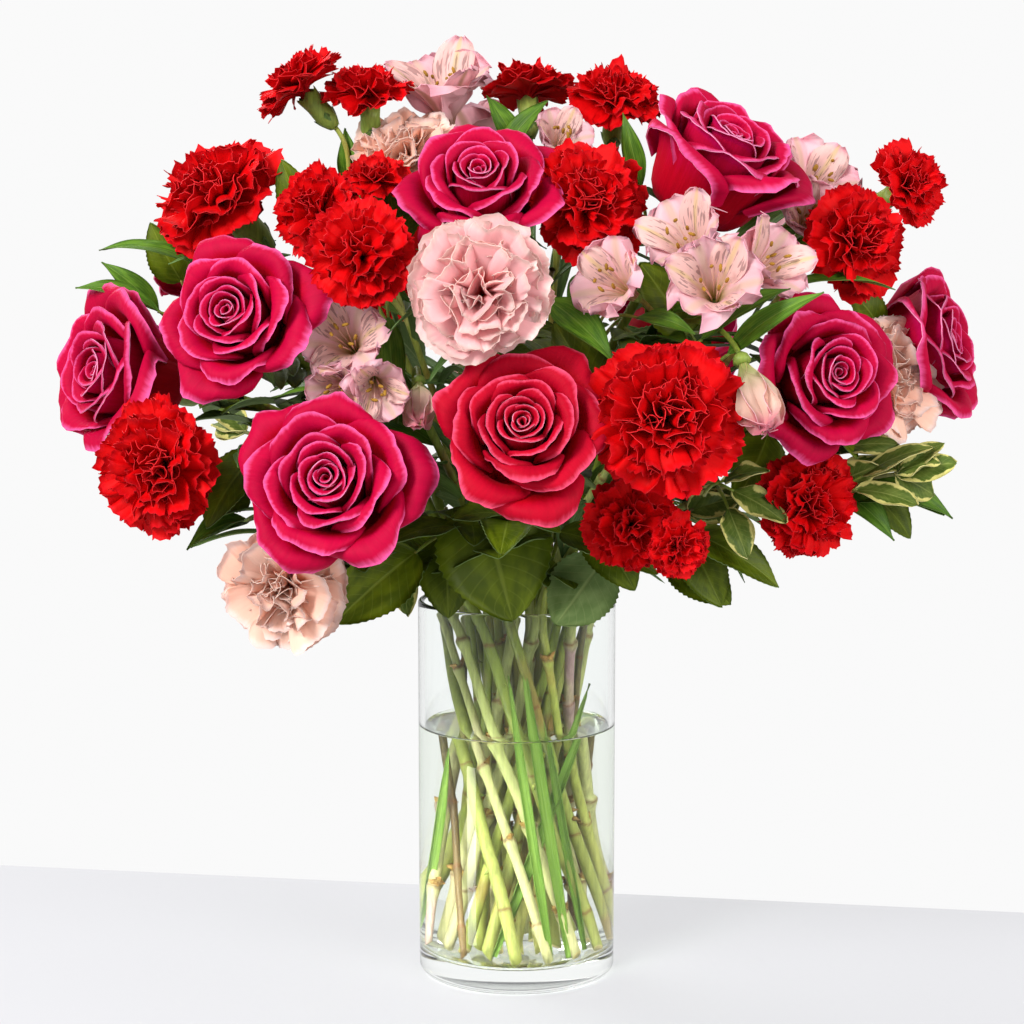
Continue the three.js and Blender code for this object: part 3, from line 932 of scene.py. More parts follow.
@dataclass
class AlstroemeriaBud(Alstroemeria):
    """A bud of the alstroemeria: tepals wrapped round each other, with crumpled tips."""

    foot_height: float = -1.25

    def petals(self, skin: Skin) -> None:
        """Adds the wrapped tepals, in the frame."""
        rng = np.random.default_rng(self.seed)
        start = rng.uniform(0, 2 * math.pi)
        for i in range(BUD_TEPALS.count):
            azimuth = start + math.radians(360 * i / BUD_TEPALS.count + rng.uniform(-8, 8))
            grid = self.seat.place(self._tepal(BUD_TEPALS, azimuth, rng))
            skin.petal(grid, rng.uniform(), self.thickness, BUD_TEPALS.finishes)


# ---- Leaves ----


class Outline(Enum):
    """The outlines that leaves have."""

    ROSE = "rose"
    LANCE = "lance"
    OVAL = "oval"
    STRAP = "strap"

    def half(self, v: np.ndarray) -> np.ndarray:
        """Half the width along the leaf, as a share of its greatest."""
        v = np.clip(v, 0, 1)
        if self is Outline.ROSE:
            return np.sin(math.pi * v**0.74) ** 0.72
        if self is Outline.LANCE:
            return np.sin(math.pi * v**0.8) ** 1.05
        if self is Outline.OVAL:
            return np.sin(math.pi * v**0.95) ** 0.62
        return np.minimum(1, 0.45 + 2 * v) * np.clip((1 - v) * 3.2, 0, 1) ** 0.7


@dataclass(frozen=True)
class LeafForm:
    """The form of a leaf. Shares are of its width, and the arch is a share of its length."""

    outline: Outline
    rows: int = 15
    cols: int = 9
    tooth: float = 0.0
    fold: float = 16.0
    wave: float = 0.05
    arch: float = 0.1
    twist: float = 18.0
    thickness: float = 0.4


ROSE_LEAF = LeafForm(Outline.ROSE, rows=33, tooth=0.04, fold=12, wave=0.035, arch=0.09)
LANCE_LEAF = LeafForm(Outline.LANCE, rows=19, fold=18, arch=0.12, twist=25)
OVAL_LEAF = LeafForm(Outline.OVAL, fold=10, wave=0.09, arch=0.08, twist=20)
STRAP_LEAF = LeafForm(Outline.STRAP, rows=21, cols=5, fold=28, arch=0.16, twist=50, thickness=0.6)
SEPAL = LeafForm(Outline.LANCE, rows=9, cols=5, fold=20, arch=0.12, twist=40)
SCALE = LeafForm(Outline.ROSE, rows=7, cols=7, fold=-30, arch=0.06, twist=6)
SHEATH = LeafForm(
    Outline.ROSE, rows=7, cols=7, tooth=0.25, fold=-34, wave=0.14, arch=0.06, twist=30, thickness=0.25
)


@dataclass(frozen=True)
class Leaf:
    """One leaf, from its foot to its tip, with its upper side turned towards facing."""

    foot: np.ndarray
    tip: np.ndarray
    width: float
    facing: np.ndarray
    form: LeafForm

    def line(self, count: int) -> np.ndarray:
        """Points along the middle of the leaf."""
        v = np.linspace(0, 1, count)[:, None]
        length = np.linalg.norm(self.tip - self.foot)
        return self.foot + (self.tip - self.foot) * v + self.facing * self.form.arch * length * 4 * v * (1 - v)

    def edges(self) -> np.ndarray:
        """A few points on the leaf's outline, to tell what it would touch."""
        count = 7
        line = self.line(count)[1:]
        side = unit(np.cross(self.tip - self.foot, self.facing))
        half = 0.5 * self.width * self.form.outline.half(np.linspace(0, 1, count)[1:])[:, None]
        return np.concatenate([line, line + side * half, line - side * half])

    def add(self, skin: Skin, rng: np.random.Generator, finishes: Sequence[int] = (0, 1, 1)) -> None:
        """Adds the leaf to a skin.

        Args:
            skin: What it is added to.
            rng: Draws its irregularities.
            finishes: The materials of its upper side, underside and rim.
        """
        form = self.form
        u = np.linspace(-1, 1, form.cols)[None, :]
        v = np.linspace(0, 1, form.rows)[:, None]
        line = self.line(form.rows)
        ahead = units(np.gradient(line, axis=0))
        side = units(np.cross(ahead, self.facing))
        turn = np.radians(form.twist * rng.uniform(-1, 1) * np.linspace(-0.5, 1, form.rows))[:, None]
        over = np.cross(side, ahead)
        side, over = side * np.cos(turn) + over * np.sin(turn), over * np.cos(turn) - side * np.sin(turn)
        half = 0.5 * self.width * form.outline.half(v)
        saw = np.where(np.arange(form.rows) % 2, 1.0, -0.35)[:, None] * (np.abs(u) > 0.99)
        x = u * half * (1 + form.tooth * saw)
        fold = math.radians(form.fold * rng.uniform(0.6, 1.3))
        lift = np.abs(x) * math.sin(fold) + form.wave * self.width * np.abs(u) ** 2 * ripple(v + 0.4 * u, rng, 1.4)
        grid = line[:, None] + side[:, None] * (x * math.cos(fold))[..., None] + over[:, None] * lift[..., None]
        skin.petal(grid, rng.uniform(), form.thickness, finishes)


@dataclass
class Room:
    """The space that foliage may fill: inside the outer box, outside the vase and clear of the blooms."""

    seats: Sequence[Seat]
    low: np.ndarray
    high: np.ndarray
    vase_radius: float
    vase_height: float
    beside: float = 4.0
    above: float = 3.0

    def free(self, points: np.ndarray) -> bool:
        """Whether all the points lie in this space, and none stands before the face of a bloom."""
        if (points < self.low).any() or (points > self.high).any():
            return False
        radial = np.hypot(points[:, 0], points[:, 1])
        if ((radial < self.vase_radius + self.beside) & (points[:, 2] < self.vase_height + self.above)).any():
            return False
        for seat in self.seats:
            own = (points - np.array(seat.at)) @ seat.axes().T / seat.width
            radial = np.hypot(own[:, 0], own[:, 1])
            inside = (radial / 0.47) ** 2 + ((own[:, 2] + 0.04) / 0.24) ** 2 < 1
            before = (radial < 0.46) & (own[:, 2] > 0) & (own[:, 2] < 1.6)
            if (inside | before).any():
                return False
        return True


def spot(path: np.ndarray, share: float) -> tuple[np.ndarray, np.ndarray]:
    """The point a share of the way along a path, and the way the path goes there."""
    i = int(share * (len(path) - 2))
    return path[i], unit(path[i + 1] - path[i])


@dataclass
class Foliage:
    """Grows the leaves of one plant where there is room for them."""

    room: Room
    skin: Skin
    rng: np.random.Generator
    stem_finish: int = 2
    tries: int = 40
    lowest: float = 196.0

    def _fits(self, leaves: Sequence[Leaf]) -> bool:
        """Whether there is room for all the leaves, and none of them hangs down beside the vase."""
        return all(leaf.tip[2] > self.lowest and self.room.free(leaf.edges()) for leaf in leaves)

    def _aim(self, point: np.ndarray, ahead: np.ndarray, spread: float, droop: float) -> np.ndarray:
        """A direction away from a stem and from the middle of the bouquet."""
        out = unit(point * LEVEL + 25 * self.rng.standard_normal(3) * LEVEL)
        return unit(ahead * 0.5 + out * spread - droop * UP + 0.35 * self.rng.standard_normal(3))

    def compound(self, point: np.ndarray, ahead: np.ndarray, length: float) -> None:
        """Grows a rose's leaf of three or five leaflets on a stalk.

        Args:
            point: Where on the stem it grows.
            ahead: The way the stem goes there.
            length: The length of its end leaflet.
        """
        for attempt in range(self.tries):
            size = length * (1 - 0.5 * attempt / self.tries)
            aim = self._aim(point, ahead, 1.0, 0.3)
            facing = unit(UP - aim * aim[2] + 0.2 * self.rng.standard_normal(3))
            side = np.cross(aim, facing)
            end = point + aim * size * 0.75
            leaves = [Leaf(end, end + aim * size, size * 0.68, facing, ROSE_LEAF)]
            for share, scale in ((0.78, 0.78), (0.36, 0.66)):
                start = point + (end - point) * share
                for way in (-1, 1):
                    reach = unit(aim * 0.45 + way * side)
                    leaf = Leaf(start, start + reach * size * scale, size * scale * 0.66, facing, ROSE_LEAF)
                    if self.room.free(leaf.edges()):
                        leaves.append(leaf)
            if len(leaves) > 2 and self._fits(leaves[:1]):
                path = np.linspace(point, end, 6)
                self.skin.stick(path, np.linspace(0.9, 0.6, 6), 6, self.stem_finish, self.rng.uniform())
                for leaf in leaves:
                    leaf.add(self.skin, self.rng)
                return

    def single(
        self,
        point: np.ndarray,
        ahead: np.ndarray,
        size: tuple[float, float],
        form: LeafForm,
        spread: float = 1.0,
        show: float = 0.0,
    ) -> None:
        """Grows one leaf.

        Args:
            point: Where on the stem it grows.
            ahead: The way the stem goes there.
            size: The leaf's length and width.
            form: The leaf's form.
            spread: How far it leans away from the stem.
            show: How much its upper side turns outwards.
        """
        up = unit(UP + show * unit(point * LEVEL) + show * direction(-90, 0))
        for attempt in range(self.tries):
            shrink = 1 - 0.4 * attempt / self.tries
            aim = self._aim(point, ahead, spread, 0.1)
            facing = unit(up - aim * aim.dot(up) + 0.3 * self.rng.standard_normal(3))
            leaf = Leaf(point, point + aim * size[0] * shrink, size[1] * shrink, facing, form)
            if self._fits([leaf]):
                leaf.add(self.skin, self.rng)
                return


# ---- Stems ----


@dataclass(frozen=True)
class Ring:
    """A ring of stems: its radius at the mouth and at the foot, and its turn between them in degrees."""

    mouth: float
    foot: float
    twist: float


OUTER = Ring(37, 40, 92)
MIDDLE = Ring(26, 28, -98)
INNER = Ring(13, 15, 88)
MOUTH = 178.0
FOOT = 15.5
STEP = 1.3
HANDLE = 0.42


@dataclass(frozen=True)
class Slot:
    """Where a stem stands in the vase: its ring, and the azimuth at which it passes the mouth."""

    ring: Ring
    azimuth: float

    def footing(self) -> tuple[np.ndarray, np.ndarray]:
        """The stem's cut end and the point where it starts to curve."""
        foot = direction(self.azimuth + self.ring.twist, 0) * self.ring.foot
        mouth = direction(self.azimuth, 0) * self.ring.mouth
        return foot + FOOT * UP, mouth + MOUTH * UP

    def path(self, end: np.ndarray, heading: np.ndarray) -> np.ndarray:
        """Points of a stem, straight up to the mouth and then in one curve to its end.

        Args:
            end: Where the stem ends.
            heading: The way it goes there.

        Returns:
            Points about STEP apart.
        """
        foot, mouth = self.footing()
        reach = float(np.linalg.norm(end - mouth))
        rise = unit(mouth - foot)
        handles = [mouth, mouth + rise * reach * HANDLE, end - heading * reach * HANDLE, end]
        curve = bezier(handles, np.linspace(0, 1, int(reach / STEP)))
        return np.concatenate([np.linspace(foot, mouth, 125)[:-1], curve])


@dataclass(frozen=True)
class StalkForm:
    """The form of a stem, in millimetres. The neck is the share of the radius that is left under the bloom."""

    radius: float
    neck: float
    node_gap: float
    swell: float
    node_length: float = 2.6
    thorns: int = 0
    sides: int = 12
    sheathed: bool = False


class Kind(Enum):
    """The kinds of plants."""

    ROSE = "rose"
    CARNATION = "carnation"
    SPRAY = "spray"
    ALSTROEMERIA = "alstroemeria"
    PITTOSPORUM = "pittosporum"


STALKS = {
    Kind.ROSE: StalkForm(2.9, 0.8, 74, 0.07, thorns=5),
    Kind.CARNATION: StalkForm(2.5, 0.6, 46, 0.5, sheathed=True),
    Kind.SPRAY: StalkForm(2.3, 0.67, 42, 0.45, sheathed=True),
    Kind.ALSTROEMERIA: StalkForm(2.7, 0.75, 90, 0.05),
    Kind.PITTOSPORUM: StalkForm(1.7, 0.6, 34, 0.25),
}


@dataclass
class Stalk:
    """A cut stem with its nodes, its thorns if it has any, and its slanted cut end."""

    path: np.ndarray
    form: StalkForm
    seed: int
    sway: float = 0.9
    sheathed_to: float = 160.0
    sheath_finish: int = 5

    def build(self, skin: Skin, finish: int, cut: int) -> None:
        """Adds the stem, with its nodes, its dry sheaths and its thorns.

        Args:
            skin: What it is added to.
            finish: The material of its skin.
            cut: The material of its cut end.
        """
        form, rng = self.form, np.random.default_rng(self.seed)
        steps = np.linalg.norm(np.diff(self.path, axis=0), axis=1)
        s = np.concatenate([[0], np.cumsum(steps)])
        nodes = np.arange(rng.uniform(0.3, 0.9) * form.node_gap, s[-1] - 14, form.node_gap)
        nodes = nodes + rng.uniform(-8, 8, len(nodes))
        near = np.concatenate([node + np.arange(-9.2, 4, 0.8) for node in nodes])
        at = np.unique(np.clip(np.concatenate([np.arange(0, s[-1], 5.0), near, [s[-1]]]), 0, s[-1]))
        at = at[np.concatenate([[True], np.diff(at) > 0.3])]
        path = np.stack([np.interp(at, s, self.path[:, axis]) for axis in range(3)], axis=-1)
        free = np.sin(math.pi * at / s[-1])[:, None]
        path = path + free * self.sway * np.stack([ripple(at / 90, rng, 0.8, 2) for _ in range(3)], axis=-1)
        bulk = 1 + (rng.uniform(0.86, 1.3) - 1) * free[:, 0] ** 0.3 * (at < 230)
        bulk = np.convolve(np.pad(bulk, 6, "edge"), np.full(13, 1 / 13), "valid")
        radii = form.radius * bulk * (1 - (1 - form.neck) * (at / s[-1]) ** 1.5)
        turns = circle(form.sides)
        mask = np.zeros((len(at), form.sides))
        for node in nodes:
            past = (at - node) / np.where(at < node, 1.7 * form.node_length, 0.6 * form.node_length)
            radii *= 1 + form.swell * rng.uniform(0.5, 1.25) * np.exp(-(past**2))
            height = (at - node)[:, None] - 0.6 - 0.7 * np.sin(turns + rng.uniform(0, 6))
            height = height - rng.uniform(-0.5, 0.5, form.sides)
            mask = np.maximum(mask, np.exp(-((height / rng.uniform(0.55, 1.1)) ** 2)))
            if form.sheathed and node < self.sheathed_to:
                i = int(np.searchsorted(at, node))
                for _ in range(2):
                    self._sheath(skin, path[i], unit(path[i + 1] - path[i]), float(radii[i]), rng)
        rings = sweep(path, radii, form.sides)
        slant = 0.85 * form.radius * np.cos(turns - rng.uniform(0, 2 * math.pi))
        rings[0] += slant[:, None] * unit(path[1] - path[0])
        share = rng.uniform()
        along = np.repeat((at / s[-1])[:, None], form.sides, axis=1)
        skin.tube(rings, np.stack([mask, along, np.full_like(along, share)], axis=-1), finish, cut)
        for _ in range(form.thorns):
            self._thorn(skin, finish, float(rng.uniform(0.1, 0.62)), rng)

    def _sheath(
        self, skin: Skin, point: np.ndarray, ahead: np.ndarray, radius: float, rng: np.random.Generator
    ) -> None:
        """Adds a torn dry leaf base that clasps a node.

        Args:
            skin: What it is added to.
            point: The node's middle.
            ahead: The way the stem goes there.
            radius: The stem's radius there.
            rng: Draws its shape.
        """
        out = unit(np.cross(ahead, rng.standard_normal(3)))
        foot = point + out * 0.9 * radius
        tip = foot + out * rng.uniform(0.4, 2.4) + ahead * rng.uniform(2.2, 5.5)
        Leaf(foot, tip, radius * rng.uniform(1.5, 2.3), out, SHEATH).add(skin, rng, (self.sheath_finish,) * 3)

    def _thorn(self, skin: Skin, finish: int, share: float, rng: np.random.Generator) -> None:
        """Adds a thorn that points back down a little.

        Args:
            skin: What it is added to.
            finish: Its material.
            share: Its place along the stem.
            rng: Draws its direction.
        """
        i = int(share * (len(self.path) - 2)) + 1
        ahead = unit(self.path[i + 1] - self.path[i])
        out = unit(np.cross(ahead, rng.standard_normal(3)))
        start = self.path[i] + out * self.form.radius * 0.6
        tip = out * rng.uniform(3.2, 4.6) - ahead * 1.6
        path = start + np.outer(np.linspace(0, 1, 5) ** 0.8, tip)
        skin.stick(path, np.array([1.5, 1.0, 0.55, 0.25, 0.05]), 7, finish, 0.9)


@dataclass
class Calyx:
    """The green cup that a bloom sits in, with the sepals or scales round it."""

    seat: Seat
    profile: Sequence[tuple[float, float]]
    teeth: float
    sides: int = 20
    leaf_finishes: tuple[int, int, int] = (3, 4, 4)

    def build(self, skin: Skin, finish: int, share: float) -> None:
        """Adds the cup, with five teeth at its top.

        Args:
            skin: What it is added to.
            finish: Its material.
            share: Its own random share.
        """
        turns = circle(self.sides)
        rings = []
        for i, (height, radius) in enumerate(self.profile):
            top = i == len(self.profile) - 2
            rise = self.teeth * (0.5 + 0.5 * np.cos(5 * turns)) if top else np.zeros_like(turns)
            rings.append(np.stack([radius * np.cos(turns), radius * np.sin(turns), height + rise], axis=-1))
        skin.tube(self.seat.place(np.stack(rings)), plain_lie(np.linspace(0.75, 1, len(rings)), share), finish)

    def _round(self, count: int, stray: float, rng: np.random.Generator) -> Iterator[np.ndarray]:
        """Directions spread round the bloom's axis, each up to a stray in degrees off its place."""
        axes = self.seat.axes()
        for i in range(count):
            azimuth = math.radians(360 / count * i + rng.uniform(-stray, stray))
            yield axes[0] * math.cos(azimuth) + axes[1] * math.sin(azimuth)

    def sepals(self, skin: Skin, rng: np.random.Generator) -> None:
        """Adds the five sepals under a rose."""
        seat, ahead = self.seat, self.seat.axes()[2]
        for out in self._round(5, 10, rng):
            foot = seat.along(-0.31) + out * 0.07 * seat.width
            tip = foot + (out * 0.3 + ahead * rng.uniform(-0.22, 0.08)) * seat.width
            Leaf(foot, tip, 0.095 * seat.width, ahead, SEPAL).add(skin, rng, self.leaf_finishes)

    def scales(self, skin: Skin, rng: np.random.Generator) -> None:
        """Adds the four small scales that clasp the foot of a carnation's calyx."""
        seat = self.seat
        for out in self._round(4, 12, rng):
            foot = seat.along(-0.55) + out * 0.05 * seat.width
            tip = seat.along(-0.37) + out * 0.125 * seat.width
            Leaf(foot, tip, 0.15 * seat.width, out, SCALE).add(skin, rng, self.leaf_finishes)


HIP = [(-0.5, 0.035), (-0.47, 0.065), (-0.42, 0.095), (-0.36, 0.1), (-0.31, 0.08), (-0.27, 0.05)]
CUP = [(-0.56, 0.03), (-0.54, 0.06), (-0.48, 0.09), (-0.38, 0.11), (-0.26, 0.105), (-0.14, 0.12), (-0.3, 0.05)]
OVARY = [(-0.62, 0.025), (-0.59, 0.05), (-0.54, 0.06), (-0.5, 0.045)]
BUD_OVARY = [(-1.4, 0.1), (-1.3, 0.2), (-1.15, 0.24), (-1.05, 0.16)]


# ---- Plants ----


class Palette(Enum):
    """The colourings of the blooms, each with the name of a slot for its petals."""

    ROSE_CERISE = ("cerise", "rose_petal")
    ROSE_CRIMSON = ("crimson", "rose_petal")
    CARNATION_RED = ("red", "carnation_red_petal")
    CARNATION_BLUSH = ("blush", "carnation_pink_petal")
    CARNATION_CREAM = ("cream", "carnation_pink_petal")
    ALSTROEMERIA = ("pale", "alstroemeria_petal")


def shades(base: PetalFinish, name: str, *colours: tuple[int, int, int], **more: object) -> PetalFinish:
    """A finish like the base in other colours: its foot, its blade and its edge, as many as are given."""
    own = {part: srgb(*colour) for part, colour in zip(("foot", "blade", "edge"), colours)}
    return replace(base, name=name, **own, **more)


# Rose petals: the deep red foot is painted shade, the colour of the folds deep in the bloom, and the pale pink
# edge on the rolled rim is a painted highlight.
ROSE_RED = PetalFinish(
    "rose_face", srgb(200, 0, 12), srgb(190, 0, 58), srgb(236, 92, 156), 0.62, 0.84, roughness=0.62, sheen=0.07,
    specular=0.1, glow=0.3, vein=0.14, bump=0.5, vein_scale=(17.0, 2.4), foot_to=0.3,
)
# Red carnation petals: the nearly black foot is painted shade deep in the bloom, and the lighter edge is a painted
# highlight on the petal tips.
RED = PetalFinish(
    "carnation_face", srgb(96, 0, 1), srgb(216, 0, 5), srgb(230, 18, 30), roughness=0.6, sheen=0.03, specular=0.12,
    glow=0.24, bump=0.4,
)
# Pale carnation petals: the coral foot is the flower's own coral centre, deepened as painted warm shade in the
# depths of the bloom; the cream edge is its own colour.
BLUSH = PetalFinish(
    "blush_face", srgb(255, 92, 76), srgb(250, 202, 203), srgb(254, 234, 228), 0.6, 0.84, roughness=0.62,
    sheen=0.05, specular=0.15, glow=0.46, foot_to=0.22, vein=0.04, bump=0.3,
)
TEPAL = TepalFinish(
    "tepal_face", srgb(226, 206, 128), srgb(248, 206, 212), srgb(245, 190, 204), 0.5, roughness=0.5, glow=0.42,
    vein=0.07,
)

PETAL_FINISHES: dict[Palette, list[PetalFinish]] = {
    # The rose's back, like its face, runs to a paler edge, and its rim is paler still: a painted highlight on the
    # petal edges.
    Palette.ROSE_CERISE: [
        shades(ROSE_RED, "cerise_back", (186, 0, 30), (197, 10, 88), (236, 98, 166)),
        shades(ROSE_RED, "cerise_face"),
        shades(ROSE_RED, "cerise_rim", (198, 14, 74), (234, 100, 160), (248, 156, 198)),
    ],
    # The crimson rose's paler edges and rim are likewise a painted highlight.
    Palette.ROSE_CRIMSON: [
        shades(ROSE_RED, "crimson_back", (180, 0, 20), (194, 8, 62), (236, 88, 132)),
        shades(ROSE_RED, "crimson_face", (190, 0, 8), (188, 2, 38), (236, 80, 116)),
        shades(ROSE_RED, "crimson_rim", (200, 16, 66), (242, 120, 156), (248, 162, 188)),
    ],
    # The red carnation's lighter rim is a painted highlight, and its back's darker foot is painted shade.
    Palette.CARNATION_RED: [
        shades(RED, "carnation_red_back", (146, 2, 6), (206, 6, 15)),
        shades(RED, "carnation_red_face"),
        shades(RED, "carnation_red_rim", (184, 4, 10), (216, 12, 20), (230, 40, 46)),
    ],
    Palette.CARNATION_BLUSH: [
        shades(BLUSH, "carnation_blush_back", (254, 136, 118), (251, 210, 209)),
        shades(BLUSH, "carnation_blush_face"),
        shades(BLUSH, "carnation_blush_rim", (248, 184, 172), (252, 214, 208), (253, 226, 218)),
    ],
    # As with the blush carnation, the coral foot is partly the flower's own colour and partly painted warm shade.
    Palette.CARNATION_CREAM: [
        shades(BLUSH, "carnation_cream_back", (252, 168, 138), (254, 218, 198), glow=0.4),
        shades(BLUSH, "carnation_cream_face", (255, 124, 92), (254, 217, 197), glow=0.4),
        shades(BLUSH, "carnation_cream_rim", (252, 190, 166), (253, 222, 204), (253, 232, 218), glow=0.4),
    ],
    Palette.ALSTROEMERIA: [
        replace(
            TEPAL, name="tepal_back", foot=srgb(184, 130, 96), blade=srgb(238, 190, 198),
            edge=srgb(242, 200, 208), stripe=srgb(150, 116, 60), stripe_weight=0.6,
        ),
        replace(TEPAL, name="tepal_face", stripe=srgb(216, 200, 130), stripe_weight=0.35),
        replace(
            TEPAL, name="tepal_throat", blade=srgb(248, 212, 204), stripe=srgb(236, 214, 120), fleck_weight=0.5
        ),
        PetalFinish("anther", srgb(120, 84, 20), srgb(150, 110, 34), srgb(120, 80, 24), roughness=0.9, glow=0.0),
        replace(
            TEPAL, name="tepal_bud", foot=srgb(158, 168, 92), blade=srgb(238, 204, 186), edge=srgb(232, 140, 156),
            blade_from=0.6, edge_from=0.74, stripe=srgb(150, 156, 70), stripe_weight=0.85,
        ),
    ],
}


class Green(Enum):
    """The kinds of leaves."""

    ROSE = "rose_leaf"
    LANCE = "lance_leaf"
    STRAP = "strap_leaf"
    GRASS = "grass"
    PITTOSPORUM = "pittosporum_leaf"


PARALLEL = Veins.PARALLEL
GREENS = {
    Green.ROSE: [
        LeafFinish("rose_leaf_upper", srgb(98, 114, 12), srgb(70, 86, 5), srgb(150, 164, 66), vein_weight=0.3),
        LeafFinish(
            "rose_leaf_under", srgb(120, 142, 84), srgb(98, 122, 66), srgb(150, 166, 104), roughness=0.6
        ),
    ],
    Green.LANCE: [
        LeafFinish(
            "lance_leaf_upper", srgb(98, 138, 36), srgb(66, 104, 24), srgb(150, 176, 80), PARALLEL, 0.35
        ),
        LeafFinish("lance_leaf_under", srgb(104, 134, 62), srgb(84, 112, 44), srgb(140, 160, 90), PARALLEL),
    ],
    Green.STRAP: [
        LeafFinish(
            "strap_leaf_upper", srgb(104, 134, 72), srgb(82, 116, 54), srgb(140, 164, 104), PARALLEL, 0.3
        ),
        LeafFinish(
            "strap_leaf_under", srgb(118, 146, 88), srgb(96, 128, 66), srgb(146, 168, 110), PARALLEL, 0.3
        ),
    ],
    Green.GRASS: [
        LeafFinish("grass_upper", srgb(124, 156, 62), srgb(96, 132, 40), srgb(172, 200, 112), PARALLEL, 0.4),
        LeafFinish("grass_under", srgb(130, 156, 74), srgb(104, 134, 52), srgb(172, 196, 120), PARALLEL, 0.4),
    ],
    Green.PITTOSPORUM: [
        LeafFinish(
            "pittosporum_upper", srgb(100, 116, 46), srgb(72, 92, 28), srgb(150, 160, 84),
            margin=srgb(206, 198, 118),
        ),
        LeafFinish(
            "pittosporum_under", srgb(134, 148, 90), srgb(114, 132, 70), srgb(160, 172, 112),
            margin=srgb(202, 196, 132),
        ),
    ],
}

STEM_FINISHES = {
    Kind.ROSE: StalkFinish("rose_stem", srgb(148, 152, 78), srgb(112, 128, 46), srgb(140, 78, 50), 0.7),
    Kind.CARNATION: StalkFinish(
        "carnation_stem", srgb(184, 180, 128), srgb(152, 162, 90), srgb(158, 112, 136), 0.8
    ),
    Kind.SPRAY: StalkFinish("spray_stem", srgb(168, 166, 92), srgb(144, 154, 68), srgb(170, 120, 56), 0.7),
    Kind.ALSTROEMERIA: StalkFinish(
        "alstroemeria_stem", srgb(150, 158, 74), srgb(120, 138, 48), srgb(140, 104, 60), 0.7
    ),
    Kind.PITTOSPORUM: StalkFinish("woody_stem", srgb(112, 90, 54), srgb(96, 96, 54), srgb(80, 56, 36), 0.6),
}
CUT_FINISH = StalkFinish("cut_end", srgb(206, 190, 130), srgb(200, 184, 122), srgb(160, 120, 60), 0.6)
SHEATH_FINISH = LeafFinish("dry_sheath", srgb(190, 160, 84), srgb(150, 104, 44), srgb(206, 186, 120), PARALLEL)
CALYX_FINISH = StalkFinish("calyx", srgb(106, 124, 44), srgb(118, 138, 56), srgb(150, 150, 80), 0.4, roughness=0.5)


class Wardrobe:
    """Makes each material once and hands it out by name."""

    def __init__(self) -> None:
        """Starts with none made."""
        self._made: dict[str, bpy.types.Material] = {}

    def get(self, *finishes: object) -> list[bpy.types.Material]:
        """The materials of the finishes."""
        for finish in finishes:
            if finish.name not in self._made:
                self._made[finish.name] = finish.material()
        return [self._made[finish.name] for finish in finishes]


def present(
    skin: Skin,
    name: str,
    materials: Sequence[bpy.types.Material],
    slot: str,
    *nodes: str,
    crease: float | None = None,
) -> None:
    """Makes a piece of a skin, puts it under the root body, hides the nodes that it stands for, if any, and
    reports it.

    Args:
        skin: The piece's mesh.
        name: The piece's name.
        materials: Its materials.
        slot: Not used.
        nodes: The nodes that it stands for.
        crease: The angle in degrees from which an edge is sharp, if any is.
    """
    piece = skin.object(name, materials, crease)
    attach(piece, ROOT)
    if nodes:
        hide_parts(*nodes)
    LOG.info("%s: %d faces", name, len(skin.faces))


class Shape(Enum):
    """The shapes of blooms, each with the place on its axis where its stem ends."""

    ROSE = -0.48
    CARNATION = -0.53
    TRUMPET = -0.58
    BUD = -1.25


PROFILES = {Shape.ROSE: HIP, Shape.CARNATION: CUP, Shape.TRUMPET: OVARY, Shape.BUD: BUD_OVARY}


